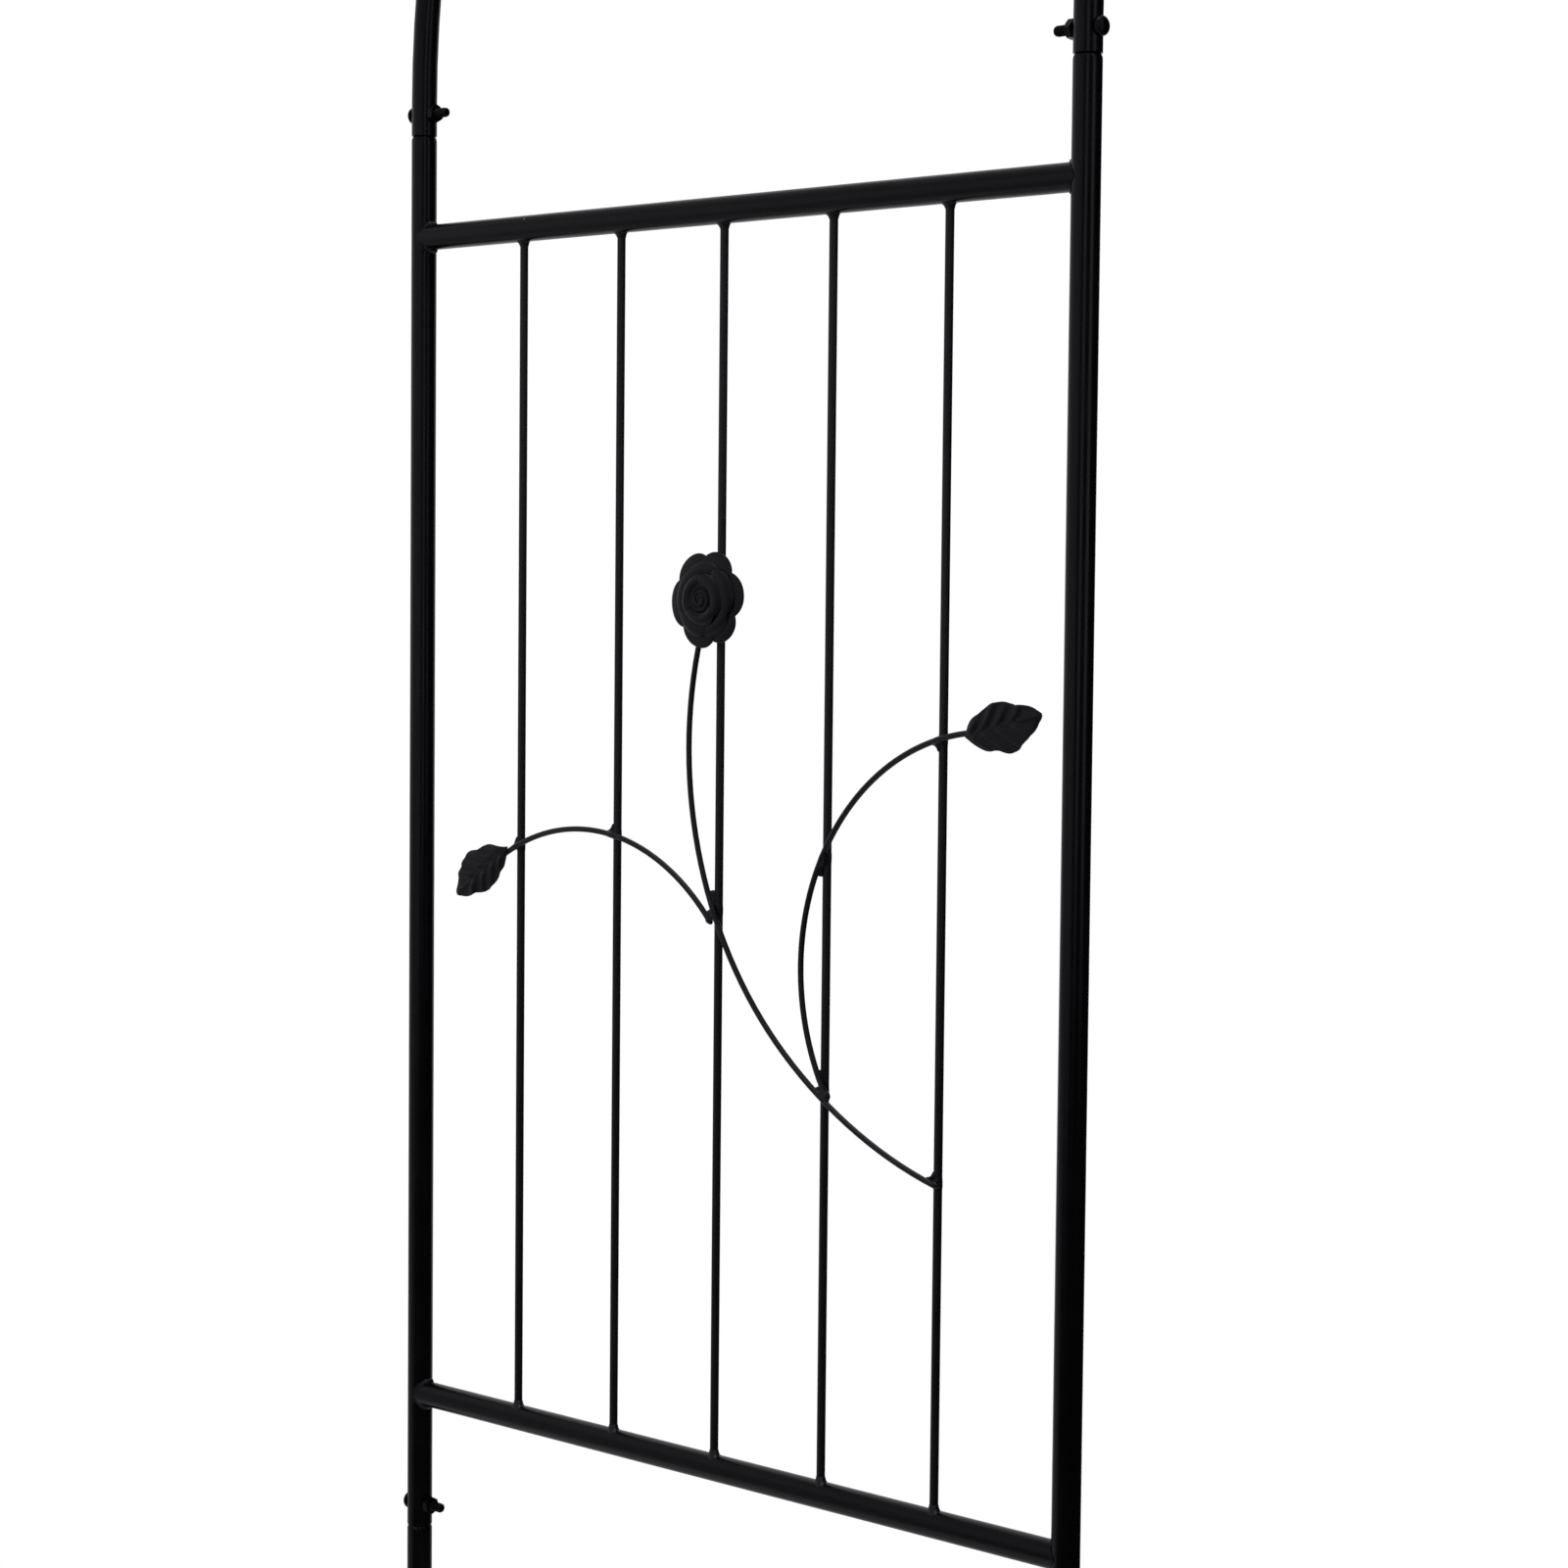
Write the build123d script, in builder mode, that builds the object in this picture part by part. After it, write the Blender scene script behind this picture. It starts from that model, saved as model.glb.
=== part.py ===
from build123d import *
from math import asin, cos, degrees, radians, sin
import os

# Metal trellis arch in millimetres: X across the passage, Y through it, Z up from the ground.

# Overall sizes, between tube axes
SPAN = 1500.0
DEPTH = 530.0
LEG_RISE = 660.0
POST_BELOW_PANEL = 86.0
PANEL_RISE = 742.0
POST_ABOVE_PANEL = 64.0
ARCH_STRAIGHT = 20.0

# Tube and rod stock
TUBE_OD = 16.0
TUBE_WALL = 1.0
BAR_DIAMETER = 5.0
BAR_COUNT = 5
VINE_DIAMETER = 3.4
RUNG_COUNT = 3

# Gaps left for weld metal, paint and assembly
WELD_GAP = 0.3
NECK_GAP = 0.3
HOLE_GAP = 0.3
SEAT_GAP = 0.3

# Swaged neck that enters the tube above
NECK_LENGTH = 24.0
NECK_SHOULDER = 3.0
NECK_CHAMFER = 0.6

# Machine screw and hexagon nut
SCREW_DIAMETER = 6.0
SCREW_LENGTH = 30.0
SCREW_FROM_END = 13.5
SCREW_TIP_CHAMFER = 0.7
HEAD_DIAMETER = 11.5
HEAD_HEIGHT = 4.0
HEAD_RIM = 0.8
NUT_ACROSS_FLATS = 10.0
NUT_THICKNESS = 5.0
NUT_CORNER_DIAMETER = 11.0

# Vine rods: start from the bottom rail's middle and bend radii, both in bar pitches, and angles
STEM_START = (0.081, 5.959)
STEM_HEADING = -69.9
STEM_BENDS = ((2.743, -68.4), (3.339, -26.5))
BACK_BRANCH_START = (2.068, 4.173)
BACK_BRANCH_HEADING = 151.6
BACK_BRANCH_BENDS = ((1.658, 76.7),)
FRONT_BRANCH_START = (-2.219, 5.184)
FRONT_BRANCH_HEADING = -8.2
FRONT_BRANCH_BENDS = ((1.634, -113.0),)
ORNAMENT_LAP = 7.0

# Stamped leaf: each lobe ends at a share of the length and of the half width, and bulges by a sag
LEAF_LENGTH = 57.0
LEAF_WIDTH = 33.0
LEAF_BASE_WIDTH = 5.0
LEAF_NARROW_SIDE = ((0.26, 0.655, 1.6), (0.71, 0.535, 3.5), (0.95, 0.175, 1.4))
LEAF_WIDE_SIDE = ((0.44, 0.865, 3.0), (0.745, 0.74, 3.0), (0.95, 0.24, 1.2))
LEAF_SHEET = 1.2
LEAF_CROWN = 2.4
LEAF_EDGE = 1.2
LEAF_TURN = -6.0

# Stamped rose: its centre in bar pitches, and count, diameter, ring radius, lift and tilt of each tier
ROSE_CENTRE = (0.047, 6.018)
ROSE_TIERS = ((6, 30.0, 14.2, 0.0, 4.0), (5, 25.0, 11.4, 2.2, 15.0), (4, 17.0, 6.8, 4.3, 36.0))
ROSE_TIER_TWIST = 33.0
ROSE_SHEET = 1.2
PETAL_CUP_RADIUS = 28.0
BUD_DIAMETER = 10.0
BUD_LIFT = 5.2

# Sizes that follow from the ones above
TUBE_R = TUBE_OD / 2
BORE_R = TUBE_R - TUBE_WALL
NECK_R = BORE_R - NECK_GAP
NECK_BORE_R = NECK_R - TUBE_WALL
NECK_TOP = NECK_SHOULDER + NECK_LENGTH
HOLE_R = SCREW_DIAMETER / 2 + HOLE_GAP
SIDE_X = SPAN / 2
POST_Y = DEPTH / 2
BOTTOM_RAIL_Z = LEG_RISE + POST_BELOW_PANEL
TOP_RAIL_Z = BOTTOM_RAIL_Z + PANEL_RISE
ARCH_FOOT = TOP_RAIL_Z + POST_ABOVE_PANEL
ARCH_RADIUS = SIDE_X - ARCH_STRAIGHT
SPRING_Z = ARCH_FOOT + ARCH_STRAIGHT
CROWN_Z = SPRING_Z + ARCH_RADIUS
COPE_R = TUBE_R + WELD_GAP
BAR_PITCH = (DEPTH - TUBE_OD) / (BAR_COUNT + 1)
VINE_R = VINE_DIAMETER / 2
VINE_X = -SIDE_X - BAR_DIAMETER / 2 - WELD_GAP - VINE_R
ORNAMENT_X = VINE_X - VINE_R - WELD_GAP

# The vine's plane on the left side: its x runs towards the back post, its y up
VINE_PLANE = Plane((VINE_X, 0, BOTTOM_RAIL_Z), x_dir=(0, 1, 0), z_dir=(1, 0, 0))

os.makedirs("parts", exist_ok=True)


def keep(piece, name):
    """Label one finished piece and write it."""
    piece.label = name
    export_step(piece, f"parts/{name}.step")


def keep_pair(piece, left_name, right_name):
    """Write a left piece, and the right one, which is it turned half round the arch's middle."""
    keep(piece, left_name)
    keep(piece.rotate(Axis.Z, 180), right_name)


def neck_section(mouth):
    """Half section of a neck on a tube's end: x outwards from the axis, y along it."""
    with BuildSketch(mouth) as section:
        with BuildLine():
            TangentArc((TUBE_R, 0), (NECK_R, NECK_SHOULDER), tangent=(0, 1))
            Polyline(
                (NECK_R, NECK_SHOULDER),
                (NECK_R, NECK_TOP - NECK_CHAMFER),
                (NECK_R - NECK_CHAMFER, NECK_TOP),
                (NECK_BORE_R, NECK_TOP),
                (NECK_BORE_R, NECK_SHOULDER),
                (BORE_R, 0),
                (TUBE_R, 0),
            )
        make_face()
    return section.sketch


def tube_ring(plane):
    """Cross section of the tube."""
    with BuildSketch(plane) as ring:
        Circle(TUBE_R)
        Circle(BORE_R, mode=Mode.SUBTRACT)
    return ring.sketch


def screw_circle(x, y, z):
    """Outline of a cross hole along Y."""
    with BuildSketch(Plane((x, y, z), z_dir=(0, 1, 0))) as circle:
        Circle(HOLE_R)
    return circle.sketch


def upright(y, foot, joint, has_foot_hole):
    """A left upright tube whose neck enters the tube that stands on it at the joint."""
    mouth_z = joint - NECK_SHOULDER
    hole_heights = [joint + SCREW_FROM_END]
    if has_foot_hole:
        hole_heights.append(foot + SCREW_FROM_END)
    with BuildPart() as tube:
        extrude(tube_ring(Plane((-SIDE_X, y, foot))), amount=mouth_z - foot)
        mouth = Plane((-SIDE_X, y, mouth_z), x_dir=(1, 0, 0), z_dir=(0, -1, 0))
        revolve(neck_section(mouth), axis=Axis(mouth.origin, (0, 0, 1)))
        for z in hole_heights:
            extrude(screw_circle(-SIDE_X, y, z), amount=TUBE_OD, both=True, mode=Mode.SUBTRACT)
    return tube.part


# Legs, which go into the ground, and the posts of the side panels above them
for y, near, far in ((-POST_Y, "front", "back"), (POST_Y, "back", "front")):
    leg = upright(y, 0, LEG_RISE, has_foot_hole=False)
    keep_pair(leg, f"left_{near}_leg", f"right_{far}_leg")
    post = upright(y, LEG_RISE, ARCH_FOOT, has_foot_hole=True)
    keep_pair(post, f"left_{near}_post", f"right_{far}_post")

# Rails of the side panel, with their ends coped to the posts
for name, z in (("bottom_rail", BOTTOM_RAIL_Z), ("top_rail", TOP_RAIL_Z)):
    with BuildPart() as rail:
        middle = Plane((-SIDE_X, 0, z), z_dir=(0, 1, 0))
        extrude(tube_ring(middle), amount=POST_Y, both=True)
        with Locations((-SIDE_X, -POST_Y, z), (-SIDE_X, POST_Y, z)):
            Cylinder(COPE_R, 2 * TUBE_OD, mode=Mode.SUBTRACT)
    keep_pair(rail.part, f"left_{name}", f"right_{name}")

# Upright bars, evenly spread over the clear width, with their ends coped to the rails
for index in range(BAR_COUNT):
    bar_y = (index - (BAR_COUNT - 1) / 2) * BAR_PITCH
    with BuildPart() as bar:
        with BuildSketch(Plane((-SIDE_X, bar_y, BOTTOM_RAIL_Z))):
            Circle(BAR_DIAMETER / 2)
        extrude(amount=PANEL_RISE)
        with Locations((-SIDE_X, bar_y, BOTTOM_RAIL_Z), (-SIDE_X, bar_y, TOP_RAIL_Z)):
            Cylinder(COPE_R, 2 * TUBE_OD, rotation=(90, 0, 0), mode=Mode.SUBTRACT)
    keep_pair(bar.part, f"left_bar_{index + 1}", f"right_bar_{BAR_COUNT - index}")


def direction(angle):
    """Unit step in a plane at an angle from its x."""
    return (cos(radians(angle)), sin(radians(angle)))


def on_vine(place):
    """A place in bar pitches, in millimetres."""
    return (place[0] * BAR_PITCH, place[1] * BAR_PITCH)


def bent_rod(start, heading, bends, radius):
    """A round rod in the vine's plane: a straight lap under its ornament, then its bends."""
    base = on_vine(start)
    step = direction(heading)
    end = (base[0] - ORNAMENT_LAP * step[0], base[1] - ORNAMENT_LAP * step[1])
    with BuildPart() as rod:
        with BuildLine(VINE_PLANE) as path:
            run = Line(end, base)
            for pitches, turn in bends:
                run = JernArc(run @ 1, run % 1, pitches * BAR_PITCH, turn)
        with BuildSketch(Plane(path.line @ 0, z_dir=path.line % 0)):
            Circle(radius)
        sweep(path=path.line)
    return rod.part


# Vine: the stem crosses the bars, and both branches are fitted to it
stem = bent_rod(STEM_START, STEM_HEADING, STEM_BENDS, VINE_R)
stem_clearance = bent_rod(STEM_START, STEM_HEADING, STEM_BENDS, VINE_R + WELD_GAP)
keep_pair(stem, "left_vine_stem", "right_vine_stem")

with BuildPart() as back_branch:
    add(bent_rod(BACK_BRANCH_START, BACK_BRANCH_HEADING, BACK_BRANCH_BENDS, VINE_R))
    add(stem_clearance, mode=Mode.SUBTRACT)
keep_pair(back_branch.part, "left_back_branch", "right_front_branch")

with BuildPart() as front_branch:
    add(bent_rod(FRONT_BRANCH_START, FRONT_BRANCH_HEADING, FRONT_BRANCH_BENDS, VINE_R))
    add(stem_clearance, mode=Mode.SUBTRACT)
keep_pair(front_branch.part, "left_front_branch", "right_back_branch")


def ornament_plane(centre, turn):
    """Plane on the front of the vine rods that faces outwards, its x at an angle from +Y."""
    along, rise = direction(turn)
    y, z = on_vine(centre)
    origin = (ORNAMENT_X, y, BOTTOM_RAIL_Z + z)
    return Plane(origin, x_dir=(0, along, rise), z_dir=(-1, 0, 0))


def leaf_outline(plane):
    """A leaf with scalloped edges, from its base along x to its blunt tip."""
    with BuildSketch(plane) as outline:
        with BuildLine():
            Line((0, -LEAF_BASE_WIDTH / 2), (0, LEAF_BASE_WIDTH / 2))
            tip_corners = []
            for side, lobes in ((1, LEAF_NARROW_SIDE), (-1, LEAF_WIDE_SIDE)):
                here = (0.0, side * LEAF_BASE_WIDTH / 2)
                for length_share, width_share, sag in lobes:
                    there = (length_share * LEAF_LENGTH, side * width_share * LEAF_WIDTH / 2)
                    SagittaArc(here, there, side * sag)
                    here = there
                tip_corners.append(here)
            ThreePointArc(tip_corners[0], (LEAF_LENGTH, 0), tip_corners[1])
        make_face()
    return outline.sketch


def leaf(base, heading):
    """A stamped leaf: two crowned halves that meet in a crease along its middle."""
    plane = ornament_plane(base, heading + LEAF_TURN)
    with BuildPart() as blade:
        with BuildSketch(Plane(plane.origin, x_dir=plane.y_dir, z_dir=plane.x_dir)):
            with BuildLine():
                for lift in (0, LEAF_SHEET):
                    crown = (LEAF_WIDTH / 4, LEAF_CROWN + lift)
                    ThreePointArc((0, lift), crown, (LEAF_WIDTH / 2, LEAF_EDGE + lift))
                Line((LEAF_WIDTH / 2, LEAF_EDGE), (LEAF_WIDTH / 2, LEAF_EDGE + LEAF_SHEET))
                Line((0, 0), (0, LEAF_SHEET))
            make_face()
            mirror(about=Plane.YZ)
        extrude(amount=LEAF_LENGTH)
        extrude(leaf_outline(plane), amount=LEAF_WIDTH / 2, mode=Mode.INTERSECT)
    return blade.part


back_leaf = leaf(BACK_BRANCH_START, BACK_BRANCH_HEADING + 180)
keep_pair(back_leaf, "left_back_leaf", "right_front_leaf")
front_leaf = leaf(FRONT_BRANCH_START, FRONT_BRANCH_HEADING + 180)
keep_pair(front_leaf, "left_front_leaf", "right_back_leaf")


def petal(diameter):
    """One cupped petal of even sheet thickness, its lowest point at the origin."""
    half_angle = degrees(asin(diameter / 2 / PETAL_CUP_RADIUS))
    inner_radius = PETAL_CUP_RADIUS - ROSE_SHEET
    with BuildPart() as cup:
        with BuildSketch(Plane.XZ):
            with BuildLine():
                under = CenterArc((0, PETAL_CUP_RADIUS), PETAL_CUP_RADIUS, -90, half_angle)
                upper = CenterArc((0, PETAL_CUP_RADIUS), inner_radius, -90, half_angle)
                Line(under @ 0, upper @ 0)
                Line(under @ 1, upper @ 1)
            make_face()
        revolve(axis=Axis.Z)
    return cup.part


# Rose: tiers of cupped petals that stand up more towards the bud
rose_plane = ornament_plane(ROSE_CENTRE, 180)
with BuildPart() as rose:
    with Locations(rose_plane.location):
        for tier, (count, diameter, ring, lift, tilt) in enumerate(ROSE_TIERS):
            with PolarLocations(ring, count, start_angle=tier * ROSE_TIER_TWIST):
                with Locations(Location((0, 0, lift), (0, -tilt, 0))):
                    add(petal(diameter))
        with Locations((0, 0, BUD_LIFT)):
            Sphere(BUD_DIAMETER / 2)
keep_pair(rose.part, "left_rose", "right_rose")


def arch_tube(y, has_neck):
    """A left quarter of a hoop, from the post's neck to the crown."""
    crown_x = -NECK_SHOULDER if has_neck else 0
    screw_x = SCREW_FROM_END if has_neck else -SCREW_FROM_END
    with BuildPart() as tube:
        with BuildLine(Plane((0, y, 0), x_dir=(1, 0, 0), z_dir=(0, -1, 0))) as path:
            foot = Line((-SIDE_X, ARCH_FOOT), (-SIDE_X, SPRING_Z))
            bend = JernArc(foot @ 1, foot % 1, ARCH_RADIUS, -90)
            Line(bend @ 1, (crown_x, CROWN_Z))
        sweep(tube_ring(Plane((-SIDE_X, y, ARCH_FOOT))), path=path.line)
        if has_neck:
            mouth = Plane((crown_x, y, CROWN_Z), x_dir=(0, 0, 1), z_dir=(0, 1, 0))
            revolve(neck_section(mouth), axis=Axis(mouth.origin, (1, 0, 0)))
        for x, z in ((-SIDE_X, ARCH_FOOT + SCREW_FROM_END), (screw_x, CROWN_Z)):
            extrude(screw_circle(x, y, z), amount=TUBE_OD, both=True, mode=Mode.SUBTRACT)
    return tube.part


keep_pair(arch_tube(-POST_Y, has_neck=True), "left_front_arch_tube", "right_back_arch_tube")
keep_pair(arch_tube(POST_Y, has_neck=False), "left_back_arch_tube", "right_front_arch_tube")

# Rungs between the hoops, evenly spread over each quarter and coped to the arch tubes
for index in range(RUNG_COUNT):
    angle = 90 * (index + 1) / (RUNG_COUNT + 1)
    across, rise = direction(angle)
    rung_x = -ARCH_STRAIGHT - ARCH_RADIUS * across
    rung_z = SPRING_Z + ARCH_RADIUS * rise
    with BuildPart() as rung:
        extrude(tube_ring(Plane((rung_x, 0, rung_z), z_dir=(0, 1, 0))), amount=POST_Y, both=True)
        for y in (-POST_Y, POST_Y):
            with BuildSketch(Plane((rung_x, y, rung_z), z_dir=(rise, 0, across))):
                Circle(COPE_R)
            extrude(amount=TUBE_OD, both=True, mode=Mode.SUBTRACT)
    keep_pair(rung.part, f"left_rung_{index + 1}", f"right_rung_{index + 1}")

# Screw along Y with its domed head at the front, seen from under the head
with BuildPart() as screw:
    with BuildSketch(Plane.XY):
        with BuildLine():
            TangentArc((0, -HEAD_HEIGHT), (HEAD_DIAMETER / 2, -HEAD_RIM), tangent=(1, 0))
            Polyline(
                (HEAD_DIAMETER / 2, -HEAD_RIM),
                (HEAD_DIAMETER / 2, 0),
                (SCREW_DIAMETER / 2, 0),
                (SCREW_DIAMETER / 2, SCREW_LENGTH - SCREW_TIP_CHAMFER),
                (SCREW_DIAMETER / 2 - SCREW_TIP_CHAMFER, SCREW_LENGTH),
                (0, SCREW_LENGTH),
                (0, -HEAD_HEIGHT),
            )
        make_face()
    revolve(axis=Axis.Y)

# Nut on that screw, against the far side of the tube, with its corners turned off
nut_face = Plane((0, TUBE_OD + 2 * SEAT_GAP, 0), x_dir=(1, 0, 0), z_dir=(0, 1, 0))
with BuildPart() as nut:
    with BuildSketch(nut_face):
        RegularPolygon(NUT_ACROSS_FLATS / 2, 6, major_radius=False)
        Circle(HOLE_R, mode=Mode.SUBTRACT)
    extrude(amount=NUT_THICKNESS)
    with BuildSketch(nut_face):
        Circle(NUT_CORNER_DIAMETER / 2)
    extrude(amount=NUT_THICKNESS, mode=Mode.INTERSECT)


def fasten(name, seats):
    """Write one screw and one nut for each tube axis point: heads face away from the passage."""
    places = []
    for x, y, z in seats:
        outward = 1 if y > 0 else -1
        head_y = y + outward * (TUBE_R + SEAT_GAP)
        places.append(Location((x, head_y, z), (0, 0, 180 if outward > 0 else 0)))
    with BuildPart() as screws:
        with Locations(*places):
            add(screw.part)
    keep(screws.part, f"{name}_screws")
    with BuildPart() as nuts:
        with Locations(*places):
            add(nut.part)
    keep(nuts.part, f"{name}_nuts")


corners = [(x, y) for x in (-SIDE_X, SIDE_X) for y in (-POST_Y, POST_Y)]
fasten("leg", [(x, y, LEG_RISE + SCREW_FROM_END) for x, y in corners])
fasten("arch_foot", [(x, y, ARCH_FOOT + SCREW_FROM_END) for x, y in corners])
fasten("crown", [(SCREW_FROM_END, -POST_Y, CROWN_Z), (-SCREW_FROM_END, POST_Y, CROWN_Z)])
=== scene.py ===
# %% [markdown]
# # A metal trellis arch
# The arch is black powder-coated tube: two side panels of upright bars with a rose on a vine,
# and a hoop over the top, all pushed together and held by small screws. The CAD model already
# has every tube at its place and size, so it is loaded as a fixed frame. Blender adds what a
# paint shop and a welder add: the finish, the weld beads, the stamped rose and leaves, and the
# threads. Everything is placed in metres, in the frame that the CAD uses. Small sizes are easier to
# read in millimetres, so they are written that way and multiplied by MM.

# %% Load the arch
import functools
import math

import bpy
from mathutils import Matrix, Vector


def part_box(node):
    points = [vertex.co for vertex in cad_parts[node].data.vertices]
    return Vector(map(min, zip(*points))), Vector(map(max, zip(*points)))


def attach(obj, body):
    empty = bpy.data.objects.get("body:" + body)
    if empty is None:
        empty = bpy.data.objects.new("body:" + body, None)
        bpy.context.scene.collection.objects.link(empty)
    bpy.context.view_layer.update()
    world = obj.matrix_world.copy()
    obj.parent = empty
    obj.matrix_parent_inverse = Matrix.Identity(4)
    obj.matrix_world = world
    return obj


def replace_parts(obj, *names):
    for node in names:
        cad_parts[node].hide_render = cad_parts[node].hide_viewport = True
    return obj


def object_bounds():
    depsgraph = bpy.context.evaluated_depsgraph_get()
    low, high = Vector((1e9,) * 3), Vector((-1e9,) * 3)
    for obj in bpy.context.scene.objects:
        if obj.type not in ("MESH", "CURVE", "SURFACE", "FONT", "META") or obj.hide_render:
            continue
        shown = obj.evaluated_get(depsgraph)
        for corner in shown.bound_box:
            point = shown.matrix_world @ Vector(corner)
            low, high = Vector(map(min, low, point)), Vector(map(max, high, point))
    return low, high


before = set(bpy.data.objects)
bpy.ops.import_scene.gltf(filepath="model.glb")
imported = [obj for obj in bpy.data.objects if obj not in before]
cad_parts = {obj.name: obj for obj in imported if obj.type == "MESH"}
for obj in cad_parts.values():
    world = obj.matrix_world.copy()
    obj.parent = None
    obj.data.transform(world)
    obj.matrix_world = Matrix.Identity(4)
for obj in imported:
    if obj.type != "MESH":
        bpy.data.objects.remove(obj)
cad_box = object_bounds()
overall = [round(side, 3) for side in cad_box[1] - cad_box[0]]
print("arch loaded:", len(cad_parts), "pieces,", overall)

# %% [markdown]
# Sizes come from the loaded pieces, not from notes. A tube's box is as wide as the tube, so half
# of that is its radius, and the middle of the box lies on its axis. Each later step asks these
# few values where to put a weld or a screw.

# %% Measure the arch
MM = 0.001


def middle(node):
    """Middle of a CAD piece's box."""
    low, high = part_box(node)
    return (low + high) / 2


def half_width(node):
    """Half the size of a CAD piece along the passage."""
    low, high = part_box(node)
    return (high.y - low.y) / 2


TUBE_R = half_width("left_front_post")
BAR_R = half_width("left_bar_3")
SIDE_X = middle("left_front_post").x
FRONT_Y = middle("left_front_post").y
BACK_Y = middle("left_back_post").y
BOTTOM_RAIL_Z = middle("left_bottom_rail").z
TOP_RAIL_Z = middle("left_top_rail").z
BAR_YS = [middle(f"left_bar_{i}").y for i in range(1, 6)]
VINE_X = middle("left_vine_stem").x
VINE_R = (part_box("left_vine_stem")[1].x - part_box("left_vine_stem")[0].x) / 2
print(f"tube {2000 * TUBE_R:.1f} mm, bar {2000 * BAR_R:.1f} mm, vine rod {2000 * VINE_R:.1f} mm")

# %% [markdown]
# The camera stands outside the left side panel, at the height of a person's chest, and looks at
# the panel from its front corner. Its place, direction and lens were worked out from the posts,
# bars and rails in the photograph, so the matrix is written from three directions instead of
# being aimed by eye.

# %% Camera at the photograph's angle
AZIMUTH = math.radians(-47.15)
ELEVATION = math.radians(-3.397)
ROLL = math.radians(0.557)
level = Vector((math.cos(AZIMUTH), math.sin(AZIMUTH), 0))
ahead = Vector((-math.sin(AZIMUTH), math.cos(AZIMUTH), 0))
forward = math.cos(ELEVATION) * ahead + Vector((0, 0, math.sin(ELEVATION)))
upright = level.cross(forward)
right = math.cos(ROLL) * level + math.sin(ROLL) * upright
up = -math.sin(ROLL) * level + math.cos(ROLL) * upright
eye = Vector((-2.17585, -1.37413, 1.27118))

bpy.ops.object.select_all(action="DESELECT")
bpy.ops.object.camera_add()
camera = bpy.context.object
camera.name = "photo_camera"
camera.matrix_world = Matrix.Translation(eye) @ Matrix((right, up, -forward)).transposed().to_4x4()
camera.data.sensor_width = 36
camera.data.lens = 77.47
camera.data.clip_end = 200
bpy.context.scene.camera = camera
bpy.context.scene.view_settings.view_transform = "Standard"
print("camera at", [round(v, 3) for v in eye], "lens", camera.data.lens)

# %% [markdown]
# Every material below is built from nodes. Colours are written as the sRGB hex values that a
# paint chart gives, and one function turns them to the linear values that shaders need. One more
# function adds a node, sets it and links it, so a material reads from top to bottom like a recipe.
# A Mix node for colours takes them at its inputs 6 and 7, and gives the blend at its output 2.

# %% Two helpers for materials
def linear(hex_colour):
    """An sRGB hex colour as linear red, green, blue and alpha."""
    shares = [int(hex_colour[i:i + 2], 16) / 255 for i in (1, 3, 5)]
    return [s / 12.92 if s <= 0.04045 else ((s + 0.055) / 1.055) ** 2.4 for s in shares] + [1.0]


def node(tree, kind, inputs=None, **settings):
    """Add a node: settings are its own options, inputs are values or other nodes' outputs."""
    made = tree.nodes.new(kind)
    for option, value in settings.items():
        setattr(made, option, value)
    for socket, value in (inputs or {}).items():
        if isinstance(value, bpy.types.NodeSocket):
            tree.links.new(value, made.inputs[socket])
        else:
            made.inputs[socket].default_value = value
    return made


print("black is", [round(v, 4) for v in linear("#141416")])

# %% [markdown]
# Polyester powder is blown on dry and melts in an oven. It flows out thick and satin, hides the
# steel, and leaves a faint orange-peel skin with waves one to two millimetres long. Where the
# panel has been knocked, a crumb of it is missing and the pale primer shows. A flat black would
# look like a hole in the picture, so colour, gloss and surface each wander a little.

# %% Powder coat
CLOUD_MM = 30
CELL_MM = 40
PRIMER = linear("#A9A7A2")


def powder_coat(name, dark, light, rough, shine, wave_mm, wave_depth_mm, chip_mm):
    """Satin black powder coat whose skin waves and crumbs have real sizes."""
    coat = bpy.data.materials.new(name)
    coat.use_nodes = True
    tree = coat.node_tree
    tree.nodes.clear()
    place = node(tree, "ShaderNodeTexCoord").outputs["Object"]
    # Cloudy change of shade, a few centimetres across, as powder settles unevenly
    cloud = node(tree, "ShaderNodeTexNoise",
                 {"Vector": place, "Scale": 1 / (CLOUD_MM * MM), "Detail": 3.0})
    shade = node(tree, "ShaderNodeMix",
                 {0: cloud.outputs["Fac"], 6: linear(dark), 7: linear(light)}, data_type="RGBA")
    # Crumbs knocked out of the coat: the few cell points that happen to lie in the surface
    cells = node(tree, "ShaderNodeTexVoronoi", {"Vector": place, "Scale": 1 / (CELL_MM * MM)})
    crumb = node(tree, "ShaderNodeMath", {0: cells.outputs["Distance"], 1: chip_mm / CELL_MM},
                 operation="LESS_THAN")
    colour = node(tree, "ShaderNodeMix", {0: crumb.outputs[0], 6: shade.outputs[2], 7: PRIMER},
                  data_type="RGBA")
    # The gloss wanders with the shade
    gloss = node(tree, "ShaderNodeMapRange", {
        "Value": cloud.outputs["Fac"], "From Min": 0.3, "From Max": 0.7,
        "To Min": rough - 0.04, "To Max": rough + 0.05})
    # Orange-peel skin
    peel = node(tree, "ShaderNodeTexNoise",
                {"Vector": place, "Scale": 1 / (wave_mm * MM), "Detail": 1.5})
    skin = node(tree, "ShaderNodeBump", {
        "Height": peel.outputs["Fac"], "Strength": 1.0, "Distance": wave_depth_mm * MM})
    # The faint blue Specular Tint is painted light: it tints every reflection as a cool lamp would
    surface = node(tree, "ShaderNodeBsdfPrincipled", {
        "Base Color": colour.outputs[2], "Roughness": gloss.outputs["Result"],
        "Normal": skin.outputs["Normal"], "IOR": 1.5, "Specular IOR Level": shine,
        "Specular Tint": linear("#EDEBFF")})
    node(tree, "ShaderNodeOutputMaterial", {"Surface": surface.outputs["BSDF"]})
    return coat


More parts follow.
